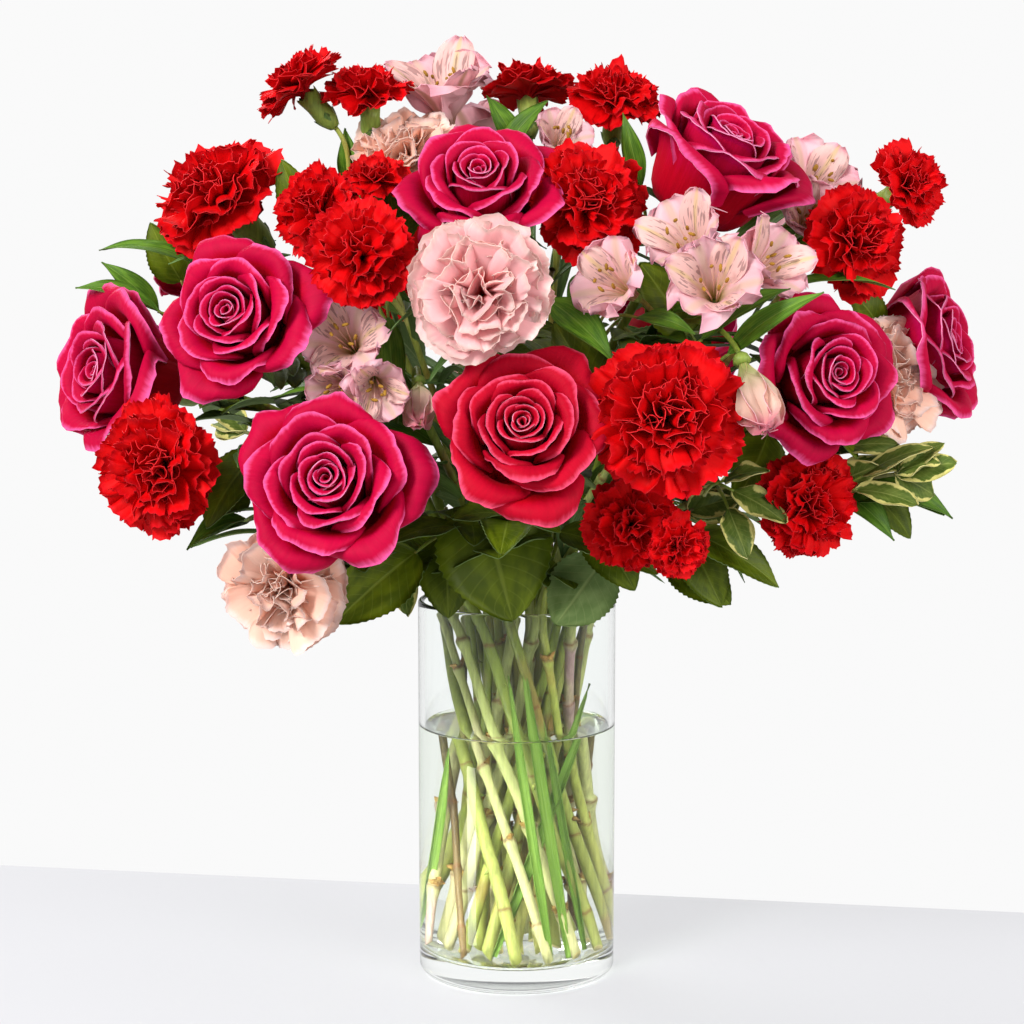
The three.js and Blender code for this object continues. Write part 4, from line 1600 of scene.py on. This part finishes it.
@dataclass
class Plant:
    """A cut plant: its stem, its blooms and its leaves. A plant with a fork branches there to its blooms."""

    name: str
    kind: Kind
    slot: Slot
    seats: Sequence[Seat]
    palette: Palette
    form: RoseForm | CarnationForm | None = None
    fork: Point | None = None
    buds: int = 0
    branch_radius: float = 1.25
    branch_points: int = 22
    leaves_from: float = 200.0
    least_points: int = 12

    def _seed(self) -> int:
        """A number of the plant's own, the same on every run."""
        return sum((i + 1) * ord(letter) for i, letter in enumerate(self.name))

    def _shape(self, index: int) -> Shape:
        """The shape of a bloom. The last ones of an alstroemeria may be buds."""
        if self.kind is not Kind.ALSTROEMERIA:
            return Shape.ROSE if self.kind is Kind.ROSE else Shape.CARNATION
        return Shape.BUD if index >= len(self.seats) - self.buds else Shape.TRUMPET

    def _heading(self) -> np.ndarray:
        """The way the main stem goes at its fork."""
        return unit(np.array(self.fork) - MOUTH * UP)

    def blooms(self, wardrobe: Wardrobe) -> None:
        """Builds the petals of all the blooms as one piece."""
        skin = Skin()
        for i, seat in enumerate(self.seats):
            seed = self._seed() + 101 * i
            shape = self._shape(i)
            if shape is Shape.ROSE:
                Rose(seat, seed, self.form).petals(skin)
            elif shape is Shape.CARNATION:
                Carnation(seat, seed, self.form).petals(skin)
            elif shape is Shape.BUD:
                AlstroemeriaBud(seat, seed).petals(skin)
            else:
                Alstroemeria(seat, seed).petals(skin)
        materials = wardrobe.get(*PETAL_FINISHES[self.palette])
        present(skin, self.name + "_petals", materials, self.palette.value[1], self.name)

    def stem_path(self) -> np.ndarray:
        """The path of the main stem."""
        if self.fork:
            return self.slot.path(np.array(self.fork), self._heading())
        seat = self.seats[0]
        return self.slot.path(seat.along(self._shape(0).value), direction(*seat.faces))

    def stalks(self, wardrobe: Wardrobe) -> None:
        """Builds the stem, the branches and what is green under the blooms as one piece."""
        skin, rng = Skin(), np.random.default_rng(self._seed() + 7)
        path = self.stem_path()
        Stalk(path, STALKS[self.kind], self._seed()).build(skin, 0, 1)
        if self.fork:
            heading = self._heading()
            start = np.array(self.fork) - 4 * heading
            for i, seat in enumerate(self.seats):
                end = seat.along(self._shape(i).value)
                reach = float(np.linalg.norm(end - start)) * 0.35
                handles = [start, start + heading * reach, end - direction(*seat.faces) * reach, end]
                branch = bezier(handles, np.linspace(0, 1, self.branch_points))
                radii = np.linspace(1.2, 1.0, self.branch_points) * self.branch_radius
                skin.stick(branch, radii, 8, 0, rng.uniform(0.3, 1))
        for i, seat in enumerate(self.seats):
            shape = self._shape(i)
            calyx = Calyx(seat, PROFILES[shape], 0.05 if shape is Shape.CARNATION else 0.0)
            calyx.build(skin, 2, rng.uniform())
            if shape is Shape.ROSE:
                calyx.sepals(skin, rng)
            elif shape is Shape.CARNATION:
                calyx.scales(skin, rng)
        finishes = [STEM_FINISHES[self.kind], CUT_FINISH, CALYX_FINISH, *GREENS[Green.STRAP], SHEATH_FINISH]
        nodes = [] if self.fork else [self.name + "_stem"]
        present(skin, self.name + "_stalk", wardrobe.get(*finishes), "stem", *nodes)

    def leaves(self, wardrobe: Wardrobe, room: Room) -> None:
        """Grows the plant's leaves as one piece, if there is room for any.

        Args:
            wardrobe: Where their materials come from.
            room: The space that they may fill.
        """
        foliage = Foliage(room, Skin(), np.random.default_rng(self._seed() + 13))
        path = self.stem_path()
        above = path[path[:, 2] > self.leaves_from]
        green = {Kind.ROSE: Green.ROSE, Kind.ALSTROEMERIA: Green.LANCE}.get(self.kind, Green.STRAP)
        if len(above) < self.least_points:
            return
        draw = foliage.rng.uniform
        if self.kind is Kind.ROSE:
            for share in (0.12, 0.3, 0.48, 0.64, 0.78, 0.9):
                foliage.compound(*spot(above, share), 35)
        elif self.kind is Kind.ALSTROEMERIA:
            for share in (0.3, 0.5, 0.7, 0.8, 0.9, 0.96, 0.98, 1.0, 1.0, 1.0):
                foliage.single(*spot(above, share), (draw(44, 66), draw(12, 17)), LANCE_LEAF)
        else:
            for share in (0.25, 0.5, 0.5, 0.75, 0.75, 0.95):
                foliage.single(*spot(above, share), (draw(45, 75), draw(4, 6)), STRAP_LEAF, 0.6)
        if foliage.skin.faces:
            finishes = [*GREENS[green], STEM_FINISHES[self.kind]]
            present(foliage.skin, self.name + "_leaves", wardrobe.get(*finishes), "leaf")


SPRAY_FORM = CarnationForm(petals=30, rows=8, cols=23, length=(0.38, 0.56), half_width=(0.17, 0.3), tooth=0.022)
PALE_FORM = CarnationForm(
    petals=38, cols=29, length=(0.34, 0.56), lean=(-6, 92), half_width=(0.17, 0.36), ruffle=(0.08, 0.028),
    tooth=0.009, rounding=0.34, thickness=0.0036,
)


def rose(
    name: str, slot: Slot, seat: Seat, palette: Palette = Palette.ROSE_CERISE, form: RoseForm = OPEN
) -> Plant:
    """A single rose."""
    return Plant("rose_" + name, Kind.ROSE, slot, [seat], palette, form)


def carnation(name: str, slot: Slot, seat: Seat, palette: Palette = Palette.CARNATION_RED) -> Plant:
    """A single carnation."""
    form = CarnationForm() if palette is Palette.CARNATION_RED else PALE_FORM
    return Plant("carnation_" + name, Kind.CARNATION, slot, [seat], palette, form)


def spray(name: str, slot: Slot, fork: Point, *seats: Seat) -> Plant:
    """A stem of red spray carnations."""
    return Plant("spray_carnation_" + name, Kind.SPRAY, slot, seats, Palette.CARNATION_RED, SPRAY_FORM, fork)


def alstroemeria(name: str, slot: Slot, fork: Point, *seats: Seat, buds: int = 0) -> Plant:
    """A stem of alstroemeria, of which the last flowers may be in bud."""
    name = "alstroemeria_" + name
    return Plant(name, Kind.ALSTROEMERIA, slot, seats, Palette.ALSTROEMERIA, fork=fork, buds=buds)


BLUSH_PINK, CREAM_PINK = Palette.CARNATION_BLUSH, Palette.CARNATION_CREAM
PLANTS = [
    rose("front_centre", Slot(OUTER, -92), Seat((2, -140, 290), (-89, 24), 80), Palette.ROSE_CRIMSON),
    rose("front_left", Slot(OUTER, -115), Seat((-83, -134, 265), (-98, 20), 87)),
    rose("left", Slot(MIDDLE, -152), Seat((-127, -106, 339), (-108, 18), 76)),
    rose("far_left", Slot(OUTER, 178), Seat((-189, -44, 308), (-142, 12), 93), form=CUPPED),
    rose("behind_left", Slot(MIDDLE, 150), Seat((-160, 38, 366), (164, 30), 72)),
    rose("top_centre", Slot(INNER, -102), Seat((-17, -82, 396), (-94, 44), 80)),
    rose("top_right", Slot(INNER, -26), Seat((93, -56, 408), (-42, 54), 97), form=CUPPED),
    rose("right", Slot(MIDDLE, -20), Seat((142, -92, 311), (-66, 12), 79)),
    rose("far_right", Slot(OUTER, 16), Seat((198, -16, 320), (-24, 18), 92), form=CUPPED),
    rose("back", Slot(OUTER, 62), Seat((88, 112, 318), (56, 22), 78)),
    carnation("pink_centre", Slot(MIDDLE, -97), Seat((-16, -137, 352), (-91, 12), 74), BLUSH_PINK),
    carnation("red_right", Slot(MIDDLE, -71), Seat((66, -134, 296), (-86, 6), 76)),
    carnation("red_lower_left", Slot(OUTER, -160), Seat((-166, -96, 270), (-118, 2), 66)),
    carnation("pink_lower_left", Slot(OUTER, -138), Seat((-108, -96, 213), (-106, -10), 66), CREAM_PINK),
    carnation("red_upper_left", Slot(MIDDLE, 180), Seat((-142, -40, 394), (-140, 46), 72)),
    carnation("pink_top", Slot(INNER, 150), Seat((-54, -22, 416), (-112, 58), 58), CREAM_PINK),
    carnation("red_top", Slot(INNER, -64), Seat((33, -74, 391), (-74, 26), 62)),
    carnation("pink_right", Slot(OUTER, -4), Seat((178, -46, 307), (-44, 6), 68), CREAM_PINK),
    carnation("red_lower_right", Slot(OUTER, -46), Seat((136, -86, 250), (-62, -2), 56)),
    carnation("red_back", Slot(MIDDLE, 106), Seat((-52, 124, 352), (108, 24), 72)),
    carnation("pink_back", Slot(OUTER, 100), Seat((-4, 142, 282), (92, 8), 70), BLUSH_PINK),
    spray(
        "left", Slot(INNER, -138), (-52, -52, 334),
        Seat((-70, -116, 367), (-86, 12), 52), Seat((-93, -78, 387), (-118, 26), 46),
        Seat((-66, -72, 402), (-84, 58), 34),
    ),
    spray(
        "top_left", Slot(INNER, -176), (-82, -12, 368),
        Seat((-106, -20, 447), (-172, 48), 48), Seat((-72, -18, 444), (-96, 74), 46),
    ),
    spray(
        "top", Slot(INNER, 58), (22, 14, 384),
        Seat((5, 12, 446), (100, 68), 46), Seat((49, -4, 442), (-82, 62), 50),
    ),
    spray(
        "right", Slot(MIDDLE, 6), (118, -12, 330),
        Seat((160, -56, 372), (-64, 14), 56), Seat((189, -28, 399), (-44, 28), 46),
    ),
    spray(
        "lower", Slot(OUTER, -69), (36, -62, 238),
        Seat((52, -112, 244), (-92, 4), 46), Seat((73, -122, 236), (-72, -6), 32),
    ),
    alstroemeria(
        "left", Slot(MIDDLE, -124), (-48, -50, 296),
        Seat((-79, -106, 330), (-100, 20), 44), Seat((-82, -112, 306), (-112, -10), 30),
        Seat((-64, -116, 307), (-84, -16), 30), Seat((-45, -104, 298), (-88, -46), 13),
        buds=1,
    ),
    alstroemeria(
        "right", Slot(MIDDLE, -45), (62, -58, 322),
        Seat((42, -116, 356), (-128, 22), 40), Seat((88, -124, 356), (-96, 26), 46),
        Seat((76, -98, 376), (-122, 40), 42), Seat((117, -90, 364), (-52, 30), 42),
        Seat((107, -132, 303), (-62, -54), 18),
        buds=1,
    ),
    alstroemeria(
        "top", Slot(INNER, 104), (-20, 16, 376),
        Seat((-37, -2, 450), (-104, 62), 54), Seat((22, -26, 424), (-70, 40), 32),
        Seat((-20, 60, 424), (96, 44), 46),
    ),
    alstroemeria(
        "far_right", Slot(INNER, 16), (104, -2, 358),
        Seat((148, -16, 404), (-52, 48), 46), Seat((140, -44, 386), (-80, 30), 34),
        Seat((136, 52, 372), (34, 32), 46),
    ),
]


@dataclass
class Sprig:
    """A woody sprig of pittosporum with whorls of small pale-edged leaves."""

    name: str
    slot: Slot
    tip: Point
    whorls: tuple[float, ...] = (0.64, 0.74, 0.84, 0.93, 1.0)
    leaves: int = 4

    def build(self, wardrobe: Wardrobe, room: Room, seed: int) -> None:
        """Builds the sprig as one piece.

        Args:
            wardrobe: Where its materials come from.
            room: The space that its leaves may fill.
            seed: Fixes its irregularities.
        """
        tip = np.array(self.tip, float)
        path = self.slot.path(tip, unit(np.array([*unit(tip[:2]), 0.2])))
        skin = Skin()
        Stalk(path, STALKS[Kind.PITTOSPORUM], seed).build(skin, 2, 3)
        foliage = Foliage(room, skin, np.random.default_rng(seed))
        for share in self.whorls:
            for _ in range(self.leaves):
                size = foliage.rng.uniform(22, 30), foliage.rng.uniform(13, 17)
                foliage.single(*spot(path, share), size, OVAL_LEAF, 0.9, 0.9)
        finishes = [*GREENS[Green.PITTOSPORUM], STEM_FINISHES[Kind.PITTOSPORUM], CUT_FINISH]
        present(skin, self.name + "_sprig", wardrobe.get(*finishes), "leaf", self.name)


SPRIGS = [
    Sprig("pittosporum_right", Slot(OUTER, -25), (180, -76, 264)),
    Sprig("pittosporum_left", Slot(OUTER, 140), (-148, 96, 268)),
]


@dataclass(frozen=True)
class HungLeaf:
    """A leaf with a place of its own, which may stand for the node of its name."""

    name: str
    kind: Green
    form: LeafForm
    foot: Point
    tip: Point
    width: float
    facing: Aim = (-90, 20)
    node: bool = False

    def build(self, wardrobe: Wardrobe, seed: int) -> None:
        """Builds the leaf as one piece, with a short stalk.

        Args:
            wardrobe: Where its materials come from.
            seed: Fixes its irregularities.
        """
        foot, tip = np.array(self.foot, float), np.array(self.tip, float)
        rng, skin = np.random.default_rng(seed), Skin()
        ahead = unit(tip - foot)
        facing = direction(*self.facing)
        facing = unit(facing - ahead * facing.dot(ahead))
        Leaf(foot, tip, self.width, facing, self.form).add(skin, rng)
        start = foot - ahead * 14 - facing * 6
        stalk = bezier([start, foot - ahead * 8, foot - ahead * 4, foot + ahead], np.linspace(0, 1, 8))
        skin.stick(stalk, np.linspace(1.0, 0.7, 8), 6, 2, 0.5)
        materials = wardrobe.get(*GREENS[self.kind], STEM_FINISHES[Kind.ROSE])
        nodes = [self.name] if self.node else []
        present(skin, self.name + "_blade", materials, "leaf", *nodes)


def hung(prefix: str, kind: Green, form: LeafForm) -> Callable[..., HungLeaf]:
    """A short way to write leaves of one kind: name, foot, tip, width, and facing and node where they matter."""
    return lambda name, *place, **more: HungLeaf(prefix + name, kind, form, *place, **more)


broad = hung("rose_leaf_", Green.ROSE, ROSE_LEAF)
lance = hung("lance_leaf_", Green.LANCE, LANCE_LEAF)
oval = hung("pale_leaf_", Green.PITTOSPORUM, OVAL_LEAF)

HUNG_LEAVES = [
    broad("front", (-17, -67, 250), (-2, -80, 194), 56, node=True),
    broad("front_left", (-34, -56, 232), (-33, -66, 193), 30, node=True),
    broad("front_right", (42, -60, 222), (18, -74, 191), 34, (90, -20), node=True),
    broad("low_left", (-48, -72, 226), (-86, -84, 194), 32, node=True),
    broad("low_right", (74, -74, 226), (100, -92, 204), 26, node=True),
    broad("right", (82, -92, 238), (122, -96, 213), 20, (-90, 40)),
    broad("dark", (20, -74, 236), (66, -84, 217), 22, (-90, 50)),
    broad("far_right", (162, -50, 258), (190, -52, 230), 24, (-60, 30)),
    broad("upper_left", (-146, -34, 396), (-158, -34, 366), 22, (-110, 10)),
    lance("right_upper", (96, -108, 322), (137, -126, 351), 13, (-80, 40)),
    lance("right_lower", (84, -100, 328), (124, -108, 352), 14, (-100, 50)),
    lance("centre", (14, -104, 347), (44, -118, 319), 18, (-90, 30)),
    lance("small", (54, -108, 339), (80, -122, 332), 11, (-90, 50)),
    lance("far", (118, -62, 346), (178, -68, 350), 12, (-80, 70)),
    lance("brown", (-60, -82, 338), (-55, -100, 290), 14, (-90, 10)),
    lance("left", (-92, -30, 380), (-118, -34, 412), 10, (-90, 20)),
    lance("far_left", (-176, -18, 338), (-203, -22, 362), 12, (-110, 40)),
    lance("low_left", (-128, -62, 240), (-153, -84, 231), 13, (-90, 50)),
    lance("top", (21, -4, 414), (2, -12, 434), 12, (-90, 60)),
    lance("right_low", (166, -58, 258), (208, -64, 241), 17, (-80, 50)),
    broad("inner_left", (-123, -70, 274), (-146, -84, 239), 24, (-110, 20)),
    broad("inner_low", (-127, -66, 252), (-153, -76, 250), 20, (-110, 30)),
    broad("behind_left", (-166, -8, 352), (-180, -14, 381), 20, (-100, 10)),
    broad("dark_centre", (39, -80, 299), (17, -88, 336), 26, (-90, 10)),
    broad("dark_right", (81, -76, 330), (57, -80, 363), 26, (-90, 10)),
    broad("dark_low", (119, -68, 282), (103, -78, 250), 26, (-80, 10)),
    broad("edge", (81, -84, 233), (96, -92, 203), 22, (-90, 10)),
    broad("edge_left", (-69, -64, 221), (-81, -74, 193), 24, (-95, 10)),
    broad("edge_centre", (36, -62, 240), (56, -74, 208), 26, (-90, 10)),
    broad("inner_high", (-55, -50, 372), (-62, -58, 404), 22, (-95, 10)),
    broad("side_high", (-95, -44, 372), (-112, -50, 411), 22, (-100, 10)),
    broad("behind_right", (176, -36, 330), (156, -46, 352), 20, (-70, 20)),
    lance("out_left", (-155, -34, 362), (-201, -40, 368), 13, (-100, 60)),
    lance("out_low", (-174, -30, 338), (-214, -34, 350), 12, (-110, 60)),
    lance("pale_low", (-129, -70, 241), (-155, -86, 229), 15, (-100, 60)),
    lance("right_out", (153, -58, 249), (204, -66, 243), 16, (-80, 60)),
    lance("right_down", (150, -60, 256), (180, -68, 231), 16, (-80, 40)),
    lance("spray", (60, -26, 397), (51, -28, 434), 11, (-90, 10)),
    lance("spray_left", (-81, -10, 397), (-84, -12, 427), 12, (-90, 10)),
    lance("high", (-8, -18, 414), (15, -22, 440), 12, (-90, 30)),
    lance("high_left", (2, -6, 416), (-15, -8, 443), 12, (-90, 20)),
    oval("low_left", (-55, -60, 220), (-52, -72, 195), 14, (-95, 10)),
    oval("right_mid", (149, -62, 273), (181, -70, 277), 14, (-80, 50)),
    oval("right_in", (154, -64, 264), (185, -72, 267), 14, (-80, 40)),
    oval("right", (163, -72, 262), (196, -80, 277), 13, (-90, 60)),
    oval("right_low", (160, -74, 256), (188, -84, 250), 14, (-90, 50)),
    oval("centre", (100, -92, 258), (124, -104, 244), 15, (-90, 40)),
    oval("centre_low", (98, -94, 250), (106, -108, 228), 15, (-90, 20)),
    oval("centre_high", (96, -90, 262), (116, -104, 268), 13, (-90, 50)),
]


@dataclass
class BackLeaves:
    """Leaves round the sides and the back: broad ones over the mouth, and slender and broad ones higher up."""

    azimuths: tuple[float, float] = (5, 200)
    tiers: Sequence[tuple[LeafForm, Green, float, float, float, float, float, float]] = (
        (ROSE_LEAF, Green.ROSE, 15, 56, 95, 228, 200, 30),
        (ROSE_LEAF, Green.ROSE, 17, 66, 106, 256, 246, 27),
        (LANCE_LEAF, Green.LANCE, 13, 70, 128, 284, 292, 15),
        (ROSE_LEAF, Green.ROSE, 21, 72, 104, 306, 328, 25),
        (LANCE_LEAF, Green.LANCE, 17, 56, 96, 336, 362, 14),
    )
    elevation: float = 45.0

    def build(self, wardrobe: Wardrobe, room: Room) -> None:
        """Builds the leaves that there is room for.

        Args:
            wardrobe: Where their materials come from.
            room: The space that they may fill.
        """
        rng = np.random.default_rng(17)
        for tier, (form, kind, step, near, far, low, high, width) in enumerate(self.tiers):
            for i, azimuth in enumerate(np.arange(*self.azimuths, step)):
                turn, sweep_by = azimuth + rng.uniform(-5, 5), rng.uniform(-14, 14)
                foot = direction(turn, 0) * near + [0, 0, low + rng.uniform(-5, 5)]
                tip = direction(turn + sweep_by, 0) * (far + rng.uniform(-7, 7))
                tip = tip + [0, 0, high + rng.uniform(-9, 9)]
                facing = (float(turn), self.elevation)
                if room.free(Leaf(foot, tip, width, direction(*facing), form).edges()):
                    leaf = HungLeaf(f"{kind.value}_back_{tier}_{i}", kind, form, foot, tip, width, facing)
                    leaf.build(wardrobe, 200 + 20 * tier + i)


@dataclass
class LooseBlades:
    """Green blades that stand in the water among the stems."""

    blades: Sequence[tuple[Point, Point, float]] = (
        ((-10, -30, 16), (36, -18, 152), 5.5),
        ((16, -36, 15), (-4, -38, 160), 5.0),
        ((24, -30, 15), (2, -34, 172), 5.5),
        ((30, -18, 16), (12, -28, 140), 4.5),
        ((-36, 12, 18), (-30, -20, 120), 5.0),
    )

    def build(self, wardrobe: Wardrobe) -> None:
        """Builds the blades as one piece."""
        skin, rng = Skin(), np.random.default_rng(5)
        form = replace(STRAP_LEAF, arch=0.01, twist=30, fold=30)
        for foot, tip, width in self.blades:
            Leaf(np.array(foot, float), np.array(tip, float), width, direction(-90, 0), form).add(skin, rng)
        present(skin, "loose_blades", wardrobe.get(*GREENS[Green.GRASS]), "leaf")


# ---- Vase and water ----


def turned(outline: Sequence[tuple[float, float]], sides: int) -> Skin:
    """A closed turned body about the Z axis.

    Args:
        outline: Radius and height of each ring, from the lower end of the axis round to its upper end.
        sides: How many points each ring has.

    Returns:
        The body's skin.
    """
    turns = circle(sides)
    rings = np.stack([np.stack([r * np.cos(turns), r * np.sin(turns), np.full(sides, z)], -1) for r, z in outline])
    skin = Skin()
    skin.tube(rings, np.zeros((len(outline), 3)))
    return skin


def rounded(
    centre: tuple[float, float], radius: float, start: float, end: float, steps: int = 6
) -> list[tuple[float, float]]:
    """Points on an arc of an outline, with its angles in degrees from outwards towards up."""
    angles = np.radians(np.linspace(start, end, steps + 1))
    return [(centre[0] + radius * math.cos(a), centre[1] + radius * math.sin(a)) for a in angles]


@dataclass
class Vase:
    """A clear cylinder vase with a thick base."""

    radius: float = 50.0
    height: float = 192.0
    wall: float = 3.0
    floor: float = 12.5
    corner: float = 4.0
    sides: int = 144

    def outline(self) -> list[tuple[float, float]]:
        """The vase's outline, from the middle of its underside to the middle of its floor."""
        inside = self.radius - self.wall
        lip = self.wall / 2
        return [
            (0.05, 0.6), (20, 0.6), (38, 0.2), (42, 0.0),
            *rounded((self.radius - self.corner, self.corner), self.corner, -90, 0),
            (self.radius, 60), (self.radius, 120), (self.radius, self.height - lip - 2),
            *rounded((self.radius - lip, self.height - lip), lip, 0, 180, 8),
            (inside, self.height - lip - 2), (inside, 120), (inside, 60),
            *rounded((inside - self.corner, self.floor + self.corner), self.corner, 0, -90),
            (30, self.floor - 0.2), (12, self.floor - 0.3), (0.05, self.floor - 0.3),
        ]

    def build(self, wardrobe: Wardrobe) -> None:
        """Builds the glass."""
        finish = ClearFinish("clear_glass", srgb(252, 254, 253), 1.5, 22.0, 0.12)
        skin = turned(self.outline(), self.sides)
        present(skin, "vase_glass_body", wardrobe.get(finish), "vase_glass", "vase", crease=40)


@dataclass
class Water:
    """The water in the vase, which climbs a little at the glass."""

    vase: Vase
    level: float = 127.0
    overlap: float = 0.3
    climb: float = 1.6

    def build(self, wardrobe: Wardrobe) -> None:
        """Builds the water, laid a little into the glass so that no air shows between them."""
        edge = self.vase.radius - self.vase.wall + self.overlap
        corner = self.vase.corner
        low = self.vase.floor - 0.3 - self.overlap
        outline = [
            (0.05, low), (12, low), (30, low),
            *rounded((edge - corner, low + corner), corner, -90, 0),
            (edge, 60), (edge, self.level), (edge, self.level + self.climb),
            *(
                (edge - away, self.level + self.climb * math.exp(-away / 1.3))
                for away in (0.4, 0.8, 1.3, 1.9, 2.6, 3.6, 5.0, 7.0)
            ),
            (edge - 9, self.level), (20, self.level), (0.05, self.level),
        ]
        finish = ClearFinish("clear_water", srgb(250, 252, 246), 1.33, 60.0, 0.04)
        skin = turned(outline, self.vase.sides)
        present(skin, "water_body", wardrobe.get(finish), "water", "water", crease=40)


# ---- Studio ----


@dataclass
class Studio:
    """A pale table before a white background, soft light and the camera."""

    table: tuple[float, float, float] = (2.4, 1.9, 0.03)
    table_turn: float = -9.4
    back_edge: float = 0.142
    backdrop: float = 0.955
    fill: float = 0.6
    camera: Point = (-0.0024, -1.21, 0.389)
    pitch: float = 7.2
    lens: float = 85.0

    def _table(self, wardrobe: Wardrobe) -> None:
        """Builds the table's top, with its edges eased."""
        turn = math.radians(self.table_turn)
        width, depth, thick = self.table
        mesh = bpy.data.meshes.new("table_top")
        ease_by = 0.003
        rings = []
        for inset, z in ((ease_by, -thick), (0, ease_by - thick), (0, -ease_by), (ease_by, 0)):
            x, y = width / 2 - inset, depth / 2 - inset
            rings += [(-x, -y, z), (x, -y, z), (x, y, z), (-x, y, z)]
        points = []
        for x, y, z in rings:
            y += self.back_edge - depth / 2
            points.append((x * math.cos(turn) - y * math.sin(turn), x * math.sin(turn) + y * math.cos(turn), z))
        faces = [(3, 2, 1, 0), (12, 13, 14, 15)]
        for level in range(0, 12, 4):
            faces += [(level + i, level + (i + 1) % 4, level + 4 + (i + 1) % 4, level + 4 + i) for i in range(4)]
        mesh.from_pydata(points, [], faces)
        # The table's grey is lifted by its painted glow, which evens out the bouquet's shadow on it.
        mesh.materials.append(wardrobe.get(FloorFinish("pale_table", srgb(128, 128, 131)))[0])
        top = bpy.data.objects.new("table_top", mesh)
        bpy.context.scene.collection.objects.link(top)
        top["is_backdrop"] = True

    def _lamp(
        self, name: str, at: Point, size: tuple[float, float], power: float, look: float = 0.25
    ) -> bpy.types.Object:
        """Adds a soft rectangular lamp that looks at the vase's axis.

        Args:
            name: Its name.
            at: Its place in metres.
            size: Its width and height in metres.
            power: Its power in watts.
            look: The height that it looks at, in metres.

        Returns:
            The lamp.
        """
        light = bpy.data.lights.new(name, "AREA")
        light.shape = "RECTANGLE"
        light.size, light.size_y = size
        light.energy = power
        lamp = bpy.data.objects.new(name, light)
        lamp.location = at
        away = Vector(at) - Vector((0, 0, look))
        lamp.rotation_euler = away.to_track_quat("Z", "Y").to_euler()
        bpy.context.scene.collection.objects.link(lamp)
        return lamp

    def _world(self) -> bpy.types.World:
        """A white world that looks brighter than the light it gives."""
        world = bpy.data.worlds.new("white")
        world.use_nodes = True
        nodes = Nodes(world.node_tree)
        rays = nodes.node("LightPath").outputs
        seen = nodes.math("MAXIMUM", rays["Is Camera Ray"], rays["Is Transmission Ray"])
        direct = nodes.times(seen, nodes.math("LESS_THAN", rays["Diffuse Depth"], 0.5))
        strength = nodes.node("MapRange", {"Value": direct, "To Min": self.fill, "To Max": self.backdrop})
        background = world.node_tree.nodes["Background"]
        background.inputs["Color"].default_value = (1, 1, 1, 1)
        world.node_tree.links.new(strength.outputs[0], background.inputs["Strength"])
        return world

    def build(self, wardrobe: Wardrobe) -> None:
        """Builds the table, the light and the camera."""
        self._table(wardrobe)
        self._lamp("key", (-1.1, -1.3, 1.3), (0.5, 0.9), 50)
        self._lamp("side", (1.2, -1.0, 0.8), (0.9, 0.9), 19)
        self._lamp("rear", (-0.9, 1.0, 1.2), (0.8, 0.8), 16)
        streak = self._lamp("streak", (-0.069, -0.078, 0.052), (0.016, 0.1), 0.1, 0.052)
        streak.visible_camera = streak.visible_diffuse = streak.visible_transmission = False
        scene = bpy.context.scene
        scene.world = self._world()
        scene.view_settings.view_transform = "Standard"
        scene.cycles.max_bounces = scene.cycles.transparent_max_bounces = 24
        scene.cycles.transmission_bounces = 20
        lens = bpy.data.cameras.new("camera")
        lens.lens = self.lens
        lens.clip_start = 0.05
        camera = bpy.data.objects.new("camera", lens)
        camera.location = self.camera
        camera.rotation_euler = (math.radians(90 - self.pitch), 0, 0)
        scene.collection.objects.link(camera)
        scene.camera = camera
        LOG.info("studio: table, lamps and camera")


BELOW, ABOVE, LOWEST = 6.0, 4.0, 170.0
SPRIG_SEED, LEAF_SEED = 31, 71


def main() -> None:
    """Builds the bouquet piece by piece and sets the scene."""
    logging.basicConfig(level=logging.INFO, format="%(name)s: %(message)s")
    wardrobe = Wardrobe()
    Studio().build(wardrobe)
    vase = Vase()
    vase.build(wardrobe)
    Water(vase).build(wardrobe)
    low, high = (np.array(corner) / MM for corner in CAD_BOX)
    seats = [seat for plant in PLANTS for seat in plant.seats]
    room = Room(seats, low - BELOW, high + ABOVE, vase.radius, vase.height)
    room.low[2] = LOWEST
    for plant in PLANTS:
        plant.blooms(wardrobe)
        plant.stalks(wardrobe)
        plant.leaves(wardrobe, room)
    for i, sprig in enumerate(SPRIGS):
        sprig.build(wardrobe, room, SPRIG_SEED + i)
    for i, leaf in enumerate(HUNG_LEAVES):
        leaf.build(wardrobe, LEAF_SEED + i)
    BackLeaves().build(wardrobe, room)
    LooseBlades().build(wardrobe)
    boxes = {"cad": CAD_BOX, "visual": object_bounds()}
    {name: [list(corner) for corner in box] for name, box in boxes.items()}


if __name__ == "__main__":
    main()
